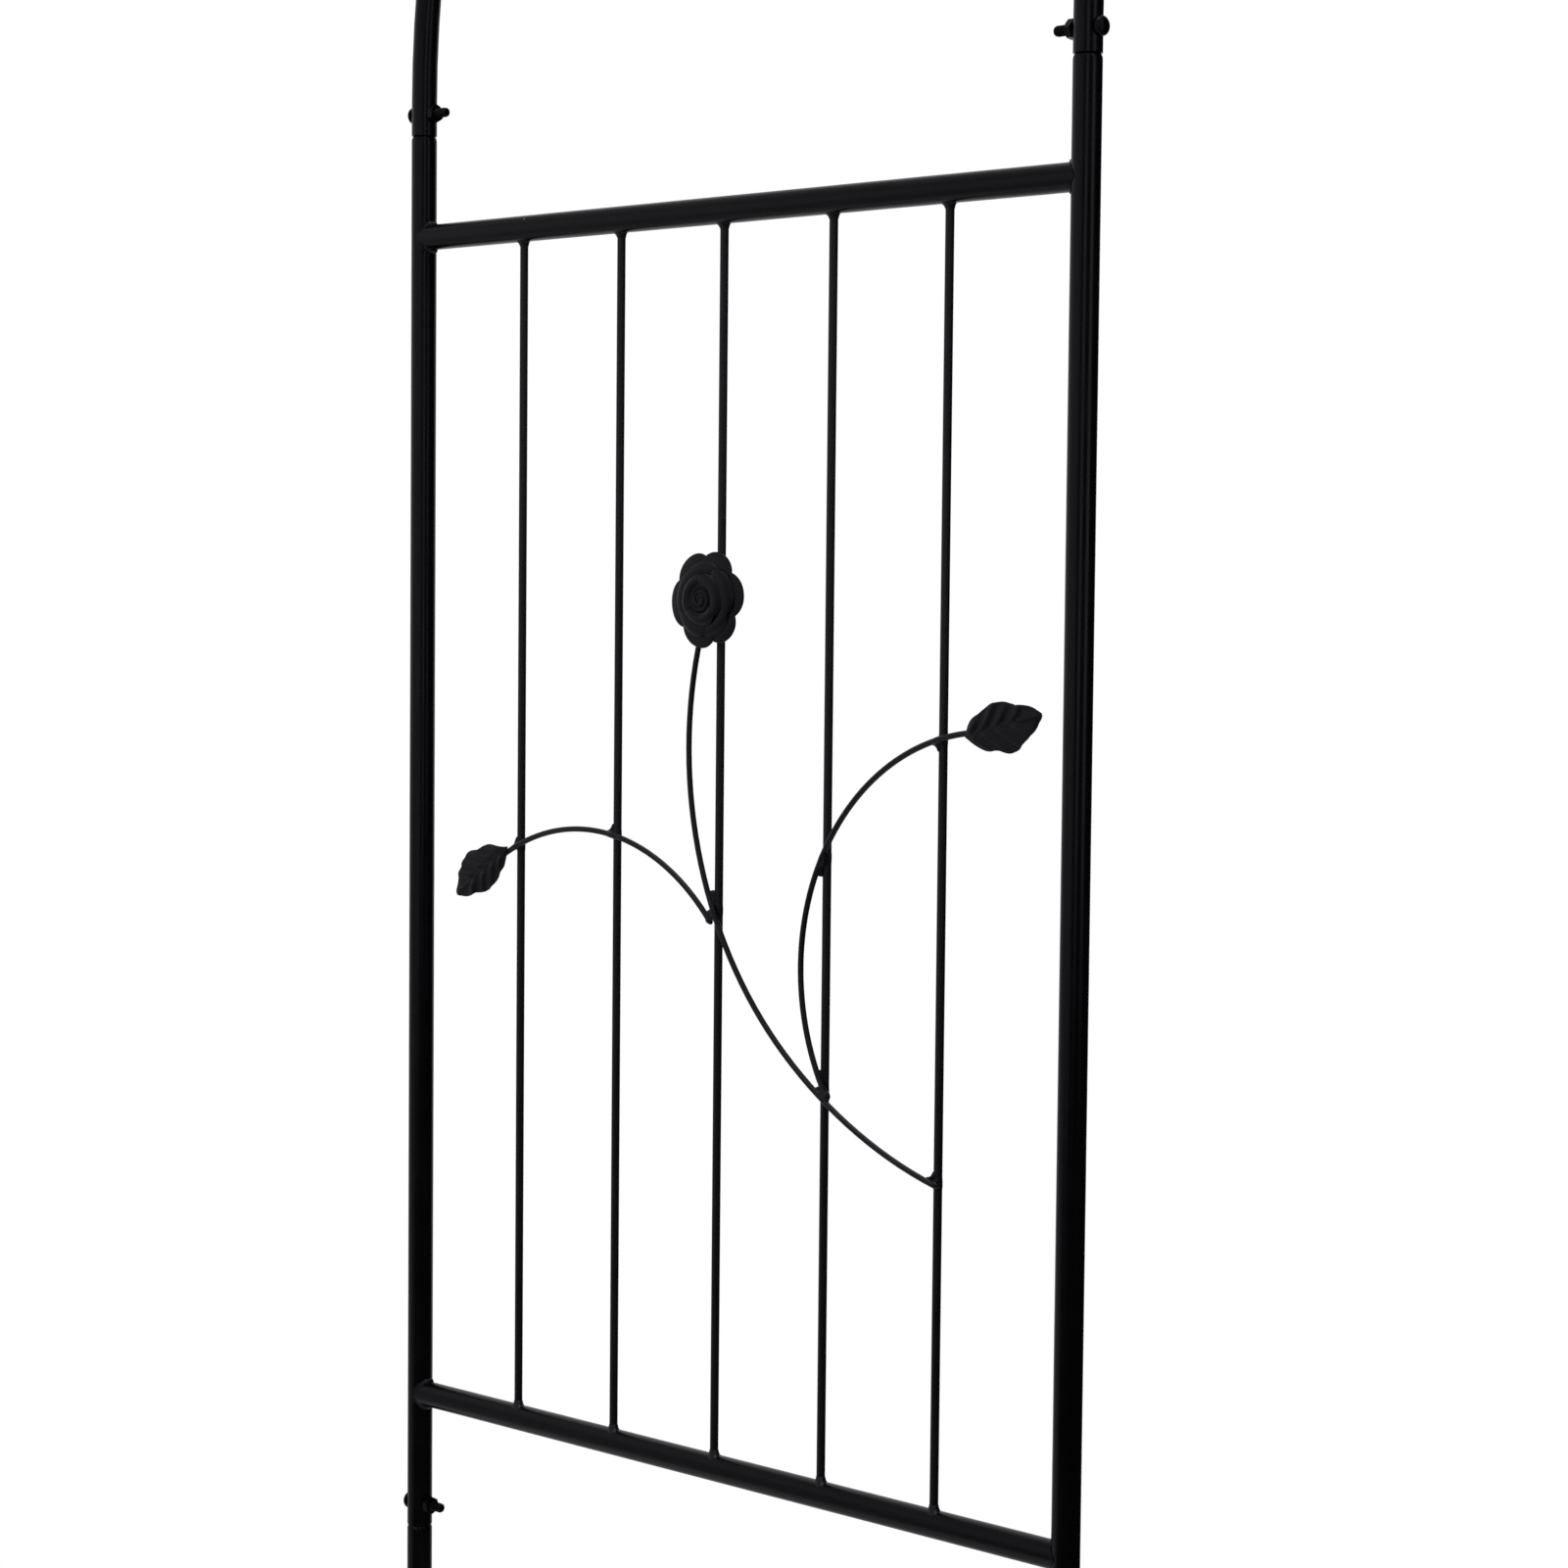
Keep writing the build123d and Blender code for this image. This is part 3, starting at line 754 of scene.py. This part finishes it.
def pressed_leaf(name, base, heading):
    """A leaf from its stalk end along a heading in the panel, facing outwards."""
    bpy.ops.object.select_all(action="DESELECT")
    bpy.ops.mesh.primitive_grid_add(x_subdivisions=140, y_subdivisions=90, size=2)
    blade = bpy.context.object
    turn = math.radians(heading)
    onward = Vector((0, math.cos(turn), math.sin(turn)))
    aside = Vector((0, math.sin(turn), -math.cos(turn)))
    stalk = Vector((ORNAMENT_X, base[0] * MM, BOTTOM_RAIL_Z + base[1] * MM))
    for vertex in blade.data.vertices:
        # The columns crowd towards the tip, where the outline is roundest
        share = 1 - (1 - (vertex.co.x + 1) / 2) ** TIP_CROWDING
        side = vertex.co.y
        if side > 0:
            half = half_leaf(share, NARROW_SIDE, NARROW_BULGE)
            lift = relief(share * LEAF_LENGTH, side * half, side, NARROW_VEINS, NARROW_LEAN)
        else:
            half = half_leaf(share, WIDE_SIDE, WIDE_BULGE)
            lift = relief(share * LEAF_LENGTH, -side * half, -side, WIDE_VEINS, WIDE_LEAN)
        flat = share * LEAF_LENGTH * onward + side * max(half, LEAST_HALF) * aside
        vertex.co = stalk + MM * flat + Vector((-lift * MM, 0, 0))
    thickened(blade, LEAF_THICK)
    return finished(name, [blade], sheet_coat, angle=50)


# A leaf points back from the start of its rod, six degrees off the rod's own line
LEAF_TURN = 174
BACK_STALK = (177.0, 358.7)
FRONT_STALK = (-192.6, 443.0)
for name, twin, stalk, rod in (("left_back_leaf", "right_front_leaf", BACK_STALK, BACK_BRANCH),
                               ("left_front_leaf", "right_back_leaf", FRONT_STALK, FRONT_BRANCH)):
    blade = pressed_leaf(f"{name}_pressed", stalk, rod[1] + LEAF_TURN)
    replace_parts(blade, name)
    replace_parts(opposite(blade, f"{twin}_pressed"), twin)
print("leaf:", len(blade.data.polygons), "faces")

# %% [markdown]
# The rose is built up from pressed petals: six broad ones at the back, five that puff up over them,
# and three that wrap the middle. Each petal is a small grid bent round the rose's axis: its columns
# become rays, and its rows follow a curve from the foot, over a crest, to the rim, which lies on the
# petals below. Three points are enough to draw that curve. The rim draws back and sinks towards both
# sides, which rounds the petal, and one side lies over the next petal. Solidify gives the sheet its
# thickness, and Subdivision Surface rounds its edges.

# %% Rose petals
ROSE_CENTRE = (4.0, 515.5)
SIDE_SINK, SIDE_FALL = 0.35, 2.2


def rose_point(radius, angle, lift):
    """A point of the rose: millimetres from its axis, degrees from the front, lift outwards."""
    turn = math.radians(angle)
    return Vector((ORNAMENT_X - lift * MM,
                   (ROSE_CENTRE[0] - radius * math.cos(turn)) * MM,
                   BOTTOM_RAIL_Z + (ROSE_CENTRE[1] + radius * math.sin(turn)) * MM))


def rounded(sheet):
    """Round off a sheet's edges."""
    soft = sheet.modifiers.new("soft", "SUBSURF")
    soft.levels = soft.render_levels = 1
    bpy.ops.object.modifier_apply(modifier="soft")


def petal(angle, spread, foot, crest, rim, draw_back, skew, thick):
    """A petal from (radius, lift) points for foot, crest and rim; its sides draw back and overlap."""
    bpy.ops.object.select_all(action="DESELECT")
    bpy.ops.mesh.primitive_grid_add(x_subdivisions=22, y_subdivisions=16, size=2)
    sheet = bpy.context.object
    foot, crest, rim = Vector(foot), Vector(crest), Vector(rim)
    for vertex in sheet.data.vertices:
        side = vertex.co.x
        fall = abs(side) ** SIDE_FALL
        out = (vertex.co.y + 1) / 2 * (1 - draw_back * fall)
        curve = foot.lerp(crest, out).lerp(crest.lerp(rim, out), out)
        lift = foot.y + (curve.y - foot.y) * (1 - SIDE_SINK * fall) + skew * side
        vertex.co = rose_point(curve.x, angle + side * spread, max(lift, thick / 2))
    thickened(sheet, thick)
    rounded(sheet)
    return sheet


# Where each petal points, in degrees, and then its spread, its reach or the height of its crest
BACK_PETALS = ((9, 48, 29.6), (64, 43, 29.4), (120, 49, 28.8),
               (187, 52, 29.2), (253, 48, 29.2), (311, 45, 28.8))
PUFFED_PETALS = ((17, 24.0, 10.5), (89, 22.0, 8.0), (161, 22.4, 8.0),
                 (233, 23.0, 8.5), (305, 22.4, 8.5))
INNER_PETALS = ((23, 16.8), (143, 15.6), (263, 16.0))
petals = []
for angle, spread, reach in BACK_PETALS:
    petals.append(petal(angle, spread, foot=(4.0, 0.8), crest=(20.0, 4.8), rim=(reach, 0.9),
                        draw_back=0.55, skew=0.4, thick=1.5))
for angle, reach, height in PUFFED_PETALS:
    petals.append(petal(angle, 46, foot=(9.0, 2.5), crest=(19.5, height), rim=(reach, 2.2),
                        draw_back=0.40, skew=0.5, thick=1.6))
for angle, reach in INNER_PETALS:
    petals.append(petal(angle, 70, foot=(7.5, 6.0), crest=(12.5, 11.0), rim=(reach, 4.4),
                        draw_back=0.34, skew=0.5, thick=1.6))
print("rose:", len(petals), "petals")

# %% [markdown]
# In the middle, a strip of sheet is rolled into the bud, like paper round a pencil. A grid becomes a
# spiral when its columns are turned further and further round the axis. A low turned middle closes
# the view between the turns. Then the whole rose is joined, and a copy goes to the right side.

# %% Bud, and the whole rose
BUD_START, BUD_THICK = 40, 2.2
BUD_TAPER, BUD_SLOPE, BUD_WAVE = 0.06, 2.0, 0.3


def rolled_bud(turns, wide, narrow, low, high):
    """A strip of sheet rolled into a spiral, open at the top."""
    bpy.ops.object.select_all(action="DESELECT")
    bpy.ops.mesh.primitive_grid_add(x_subdivisions=90, y_subdivisions=8, size=2)
    strip = bpy.context.object
    for vertex in strip.data.vertices:
        share = (vertex.co.x + 1) / 2
        up_share = (vertex.co.y + 1) / 2
        radius = (wide + (narrow - wide) * share) * (1 - BUD_TAPER * up_share ** 2)
        top = high - BUD_SLOPE * (1 - share) + BUD_WAVE * math.sin(share * 4 * math.pi)
        angle = BUD_START + 360 * turns * share
        vertex.co = rose_point(radius, angle, low + (top - low) * up_share)
    thickened(strip, BUD_THICK)
    rounded(strip)
    return strip


def heart(outline):
    """The solid middle that the bud is rolled round, from (radius, lift) points."""
    core = turned([(radius * MM, lift * MM) for radius, lift in outline], 32)
    for vertex in core.data.vertices:
        x, y, z = vertex.co / MM
        vertex.co = rose_point(math.hypot(x, y), math.degrees(math.atan2(y, x)), z)
    return core


HEART = ((0, 1.0), (9.4, 1.0), (9.0, 5.2), (7.0, 6.9), (4.0, 7.9), (0, 8.3))
petals.append(rolled_bud(turns=2.3, wide=8.4, narrow=1.3, low=3.0, high=9.4))
petals.append(heart(HEART))
rose = finished("left_rose_petals", petals, sheet_coat, angle=50)
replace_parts(rose, "left_rose")
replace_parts(opposite(rose, "right_rose_petals"), "right_rose")
print("rose:", len(petals), "petals and middles,", len(rose.data.polygons), "faces")

# %% [markdown]
# Each tube joint is held by a domed machine screw with a cross recess and a six-sided nut. They are
# made as on a lathe and a mill: turned from one outline, and cut with booleans. A boolean can leave
# faces as thin as needles, so they are taken out afterwards. Screw and nut are modelled once at the
# origin, and each joint gets its own copy.

# %% Cut and clean
MERGE, NEEDLE = 0.005 * MM, 0.002 * MM
FLAT_ANGLE = math.radians(0.5)


def cut(shape, tool, operation):
    """Apply a boolean with a tool, which is used up."""
    keep_only(shape)
    step = shape.modifiers.new("cut", "BOOLEAN")
    step.operation = operation
    step.solver = "EXACT"
    step.object = tool
    bpy.ops.object.modifier_apply(modifier="cut")
    bpy.data.objects.remove(tool)


def cleaned(shape):
    """Take the needle faces out of a cut shape, and close the small ends that are open."""
    keep_only(shape)
    bpy.ops.object.mode_set(mode="EDIT")
    bpy.ops.mesh.select_all(action="SELECT")
    bpy.ops.mesh.remove_doubles(threshold=MERGE)
    bpy.ops.mesh.dissolve_limited(angle_limit=FLAT_ANGLE)
    bpy.ops.mesh.select_all(action="SELECT")
    bpy.ops.mesh.fill_holes(sides=3)
    bpy.ops.mesh.select_all(action="SELECT")
    bpy.ops.mesh.quads_convert_to_tris(quad_method="BEAUTY", ngon_method="BEAUTY")
    bpy.ops.mesh.dissolve_degenerate(threshold=NEEDLE)
    bpy.ops.object.mode_set(mode="OBJECT")


print(f"corners closer than {MERGE / MM:.3f} mm become one")

# %% [markdown]
# The screw's outline runs over the dome of its head, under it and down the shank. The recess for the
# screwdriver is cut with two crossed blades.

# %% Machine screw
SCREW_R, SCREW_LENGTH, HEAD_R, HEAD_HEIGHT = 3.0, 30.0, 5.45, 4.0
HEAD_RIM, DOME_STEPS = 0.8, 8
CORE_R = SCREW_R - 0.35
dome = [(0.0, -HEAD_HEIGHT)]
for step in range(1, DOME_STEPS + 1):
    turn = math.radians(step * 90 / DOME_STEPS)
    dome.append((HEAD_R * math.sin(turn), -HEAD_RIM - (HEAD_HEIGHT - HEAD_RIM) * math.cos(turn)))
shank = [(HEAD_R, -0.1), (HEAD_R - 0.1, 0.0), (CORE_R, 0.0), (CORE_R, SCREW_LENGTH - 0.5),
         (SCREW_R - 0.8, SCREW_LENGTH), (0.0, SCREW_LENGTH)]
screw = turned([(r * MM, z * MM) for r, z in dome + shank], 40)

# A blade of the recess is a block that narrows inwards
RECESS = (5.0 * MM, 1.0 * MM, 3.0 * MM)
RECESS_TAPER = (0.45, 0.7, 1)
RECESS_Z = -3.6 * MM
for turn in (0, 90):
    bpy.ops.object.select_all(action="DESELECT")
    bpy.ops.mesh.primitive_cube_add(size=1)
    blade = bpy.context.object
    bpy.ops.object.mode_set(mode="EDIT")
    bpy.ops.transform.resize(value=RECESS)
    bpy.ops.mesh.select_all(action="DESELECT")
    bpy.ops.object.mode_set(mode="OBJECT")
    for face in blade.data.polygons:
        face.select = face.normal.z > 0.5
    bpy.ops.object.mode_set(mode="EDIT")
    bpy.ops.transform.resize(value=RECESS_TAPER)
    bpy.ops.object.mode_set(mode="OBJECT")
    spun = Matrix.Rotation(math.radians(turn), 4, "Z")
    blade.data.transform(Matrix.Translation((0, 0, RECESS_Z)) @ spun)
    cut(screw, blade, "DIFFERENCE")
print("screw:", len(screw.data.polygons), "faces without its thread")

# %% [markdown]
# A real thread is cut into the shank. Here it is wound on instead, which is far lighter than a
# boolean: a small three-sided tooth goes along the shank with the Screw modifier, one turn to the
# millimetre, and its root lies inside the core. It starts just inside the nut and ends a turn short
# of the tip.

# %% Screw thread
PITCH, THREAD_TURNS = 1.0, 12
THREAD_START = SCREW_LENGTH - 13.5
TOOTH = ((SCREW_R - 0.55, 0.08), (SCREW_R, 0.5), (SCREW_R - 0.55, 0.92))
bpy.ops.object.select_all(action="DESELECT")
bpy.ops.mesh.primitive_circle_add(vertices=3, radius=MM, fill_type="NGON")
thread = bpy.context.object
for vertex, (r, z) in zip(thread.data.vertices, TOOTH):
    vertex.co = (r * MM, 0, (THREAD_START + z) * MM)
wind = thread.modifiers.new("wind", "SCREW")
wind.axis = "Z"
wind.angle = 2 * math.pi
wind.screw_offset = PITCH * MM
wind.iterations = THREAD_TURNS
wind.steps = wind.render_steps = 24
wind.use_merge_vertices = True
bpy.ops.object.modifier_apply(modifier="wind")
keep_only(screw)
thread.select_set(True)
bpy.ops.object.join()
cleaned(screw)
screw.name = "machine_screw"
print("screw:", len(screw.data.polygons), "faces")

# %% [markdown]
# A nut starts as a six-sided cylinder. Its corners are turned off at both faces, which a boolean
# with a turned double cone does exactly as a lathe would, and leaves the curved edge on each flat.

# %% Nut
NUT_FLATS, NUT_THICK = 10.0, 4.0
bpy.ops.object.select_all(action="DESELECT")
bpy.ops.mesh.primitive_cylinder_add(vertices=6, radius=NUT_FLATS / math.sqrt(3) * MM,
                                    depth=NUT_THICK * MM)
nut = bpy.context.object
spun = Matrix.Rotation(math.radians(30), 4, "Z")
nut.data.transform(Matrix.Translation((0, 0, NUT_THICK / 2 * MM)) @ spun)
# Both tools run past the nut's faces, so that no two faces lie in one plane
blank = [(0, -0.29), (4.4, -0.29), (5.9, 0.58), (5.9, NUT_THICK - 0.58), (4.4, NUT_THICK + 0.29),
         (0, NUT_THICK + 0.29)]
blank = turned([(r * MM, z * MM) for r, z in blank], 48)
cut(nut, blank, "INTERSECT")
bore = [(0, -1), (4.0, -1), (2.9, 0.6), (2.9, NUT_THICK - 0.6), (4.0, NUT_THICK + 1),
        (0, NUT_THICK + 1)]
bore = turned([(r * MM, z * MM) for r, z in bore], 32)
cut(nut, bore, "DIFFERENCE")
cleaned(nut)
nut.name = "hexagon_nut"
print("nut:", len(nut.data.polygons), "faces")

# %% [markdown]
# A screw goes through each joint along the passage, its head on the outside. Its seat is the
# middle of the CAD screw's head, so the copies land exactly where the CAD has them: the four at
# the legs, the four at the arch feet and the two at the crown.

# %% Fasten the joints
CAD_HEAD_R = 5.75
CROWN_Z = middle("crown_screws").z
CROWN_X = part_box("crown_screws")[1].x - CAD_HEAD_R * MM
LEG_Z = middle("leg_screws").z
FOOT_Z = middle("arch_foot_screws").z
legs = [(x, y) for x in (SIDE_X, -SIDE_X) for y in (FRONT_Y, BACK_Y)]
JOINTS = {
    "leg": [(x, y, LEG_Z) for x, y in legs],
    "arch_foot": [(x, y, FOOT_Z) for x, y in legs],
    "crown": [(CROWN_X, FRONT_Y, CROWN_Z), (-CROWN_X, BACK_Y, CROWN_Z)],
}


def placed(model, seat, spin):
    """A copy of a fastener in a joint: its length lies along the passage and points inwards."""
    x, y, z = seat
    out = -1 if y < 0 else 1
    copy = model.copy()
    copy.data = model.data.copy()
    bpy.context.collection.objects.link(copy)
    lay = Matrix.Rotation(math.radians(90 * out), 4, "X")
    under_head = Vector((x, y + out * (TUBE_R + GAP), z))
    spun = Matrix.Rotation(math.radians(spin), 4, "Z")
    copy.data.transform(Matrix.Translation(under_head) @ lay @ spun)
    return copy


# Tightened by hand, each screw and nut stops at its own angle
SCREW_SPIN, NEXT_SCREW = 25, 37
NUT_SPIN, NEXT_NUT = 8, 23
nut.data.transform(Matrix.Translation((0, 0, 2 * TUBE_R + 2 * GAP)))
for joint, seats in JOINTS.items():
    screws = [placed(screw, seat, SCREW_SPIN + NEXT_SCREW * i) for i, seat in enumerate(seats)]
    nuts = [placed(nut, seat, NUT_SPIN + NEXT_NUT * i) for i, seat in enumerate(seats)]
    made = finished(f"{joint}_machine_screws", screws, blackened, angle=35)
    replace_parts(made, f"{joint}_screws")
    made = finished(f"{joint}_hexagon_nuts", nuts, blackened, angle=25)
    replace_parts(made, f"{joint}_nuts")
for model in (screw, nut):
    bpy.data.objects.remove(model)
print("joints fastened:", sum(len(seats) for seats in JOINTS.values()))

# %% [markdown]
# The photograph has a white background with nothing on it. Here the floor and the sky are white
# to the camera and in reflections, and give only an even ambient light to the object.

# %% White sky
AMBIENT = 0.45


def white_level(tree):
    """Full white to the camera and in reflections, and an even ambient level as light."""
    ray = node(tree, "ShaderNodeLightPath")
    seen = node(tree, "ShaderNodeMath",
                {0: ray.outputs["Is Camera Ray"], 1: ray.outputs["Is Glossy Ray"]}, operation="MAXIMUM")
    seen = node(tree, "ShaderNodeMath",
                {0: seen.outputs[0], 1: ray.outputs["Is Transmission Ray"]}, operation="MAXIMUM")
    strength = node(tree, "ShaderNodeMapRange",
                    {"Value": seen.outputs[0], "To Min": AMBIENT, "To Max": 1.0})
    return strength.outputs["Result"]


world = bpy.data.worlds.new("white_studio")
bpy.context.scene.world = world
world.use_nodes = True
tree = world.node_tree
tree.nodes.clear()
sky = node(tree, "ShaderNodeBackground",
           {"Color": linear("#FFFFFF"), "Strength": white_level(tree)})
node(tree, "ShaderNodeOutputWorld", {"Surface": sky.outputs["Background"]})
print("sky:", world.name, "with ambient light", AMBIENT)

# %% [markdown]
# Near the feet the floor is a real matt surface, which keeps the arch's shadow. Further out it fades
# to plain white, so no horizon shows.

# %% White floor
FADE_START, FADE_END = 0.9, 1.6
bpy.ops.object.select_all(action="DESELECT")
bpy.ops.mesh.primitive_plane_add(size=60)
floor = bpy.context.object
floor.name = "studio_floor"
paper = bpy.data.materials.new("white_paper_floor")
paper.use_nodes = True
tree = paper.node_tree
tree.nodes.clear()
place = node(tree, "ShaderNodeTexCoord").outputs["Object"]
distance = node(tree, "ShaderNodeVectorMath", {0: place}, operation="LENGTH")
fade = node(tree, "ShaderNodeMapRange",
            {"Value": distance.outputs["Value"], "From Min": FADE_START, "From Max": FADE_END},
            interpolation_type="SMOOTHSTEP")
matt = node(tree, "ShaderNodeBsdfDiffuse", {"Color": linear("#F6F6F4")})
white = node(tree, "ShaderNodeEmission",
             {"Color": linear("#FFFFFF"), "Strength": white_level(tree)})
both = node(tree, "ShaderNodeMixShader", {
    0: fade.outputs["Result"], 1: matt.outputs["BSDF"], 2: white.outputs["Emission"]})
node(tree, "ShaderNodeOutputMaterial", {"Surface": both.outputs["Shader"]})
floor.data.materials.append(paper)
print("floor", floor.dimensions[:2])

# %% [markdown]
# Studio lamps: one soft box above lights the tops of the rails and the rose's petals, and a weaker
# one to the left of the camera fills in. Both are large, so their shadows are soft.

# %% Lamps
def soft_box(name, place, aim, width, height, power):
    """A rectangular lamp at a place, turned to face a point."""
    bpy.ops.object.select_all(action="DESELECT")
    bpy.ops.object.light_add(type="AREA", location=place)
    lamp = bpy.context.object
    lamp.name = name
    lamp.data.shape = "RECTANGLE"
    lamp.data.size = width
    lamp.data.size_y = height
    lamp.data.energy = power
    lamp.rotation_euler = (Vector(aim) - Vector(place)).to_track_quat("-Z", "Y").to_euler()
    return lamp


PANEL = Vector((SIDE_X, 0, 1.1))
soft_box("left_box", (-2.6, 2.2, 2.4), PANEL, width=1.6, height=2.2, power=10)
soft_box("top_box", (-1.4, -0.2, 4.6), PANEL, width=2.4, height=2.4, power=60)

# %% [markdown]
# In a white room a black tube looks grey all round. A photographer hangs cloth round it: the dark
# side of the tube is the reflection of black cloth, two gaps in that draw the thin upright lights on
# the tubes, and grey cloth calms the rails. Here each cloth is a glowing sheet: the black and grey
# ones glow below the white background, as painted shade in the reflections, and the white strips in
# the gaps glow brighter than it, as painted light. Each cloth is bent from an open cylinder round the
# panel, and the faces outside its arcs are deleted. The cloths show in reflections only, so they take
# no light from the arch and throw no shadow.

# %% Cloth for the reflections
CLOTH_R, CLOTH_TOP = 1.31, 4.0
GAPS = ((-2.2, 10.9), (40, 54))


def reflection_glow(name, level_of_white):
    """Painted light or shade for reflections: a glow at a share of the white background."""
    glow = bpy.data.materials.new(name)
    glow.use_nodes = True
    tree = glow.node_tree
    tree.nodes.clear()
    shade = node(tree, "ShaderNodeEmission",
                 {"Color": linear("#FFFFFF"), "Strength": level_of_white})
    node(tree, "ShaderNodeOutputMaterial", {"Surface": shade.outputs["Emission"]})
    return glow


def hung_cloth(name, bottom, top, arcs, glow):
    """Cloth between two heights, over arcs in degrees to the right of the way to the camera."""
    bpy.ops.object.select_all(action="DESELECT")
    bpy.ops.mesh.primitive_cylinder_add(vertices=240, radius=CLOTH_R, depth=top - bottom,
                                        end_fill_type="NOTHING",
                                        location=(SIDE_X, 0, (top + bottom) / 2))
    cloth = bpy.context.object
    cloth.name = name
    bpy.ops.object.mode_set(mode="EDIT")
    bpy.ops.mesh.select_mode(type="FACE")
    bpy.ops.mesh.select_all(action="DESELECT")
    bpy.ops.object.mode_set(mode="OBJECT")
    for face in cloth.data.polygons:
        bearing = math.degrees(math.atan2(face.center.dot(level), -face.center.dot(ahead)))
        face.select = not any(start <= bearing <= end for start, end in arcs)
    bpy.ops.object.mode_set(mode="EDIT")
    bpy.ops.mesh.delete(type="FACE")
    bpy.ops.mesh.select_mode(type="VERT")
    bpy.ops.object.mode_set(mode="OBJECT")
    for sense in ("visible_camera", "visible_diffuse", "visible_transmission", "visible_shadow"):
        setattr(cloth, sense, False)
    cloth.data.materials.append(glow)
    return cloth


# Each level is a glow seen only in reflections: below 1 it is painted shade, above 1 painted light
black = reflection_glow("black_reflection_shade", level_of_white=0.01)
grey = reflection_glow("grey_reflection_shade", level_of_white=0.55)
pale = reflection_glow("pale_grey_reflection_shade", level_of_white=0.82)
bright = reflection_glow("lit_white_cloth", level_of_white=2.2)
cloths = [
    hung_cloth("tall_reflection_shade", 0.0, CLOTH_TOP, ((-22, -2.2), (10.9, 40), (54, 140)), black),
    hung_cloth("low_reflection_shade", 0.0, 0.8, ((-70, -22),), black),
    hung_cloth("low_reflection_shade_in_gaps", 0.0, 1.0, GAPS, black),
    hung_cloth("lit_white_strips", 1.0, CLOTH_TOP, GAPS, bright),
    hung_cloth("low_grey_reflection_shade", 0.0, 1.15, ((-150, -70),), grey),
    hung_cloth("pale_reflection_shade", 1.15, 1.9, ((-150, -70),), pale),
    hung_cloth("high_grey_reflection_shade", 1.9, CLOTH_TOP, ((-150, -22),), grey),
]
print("cloth:", [len(cloth.data.polygons) for cloth in cloths], "faces")
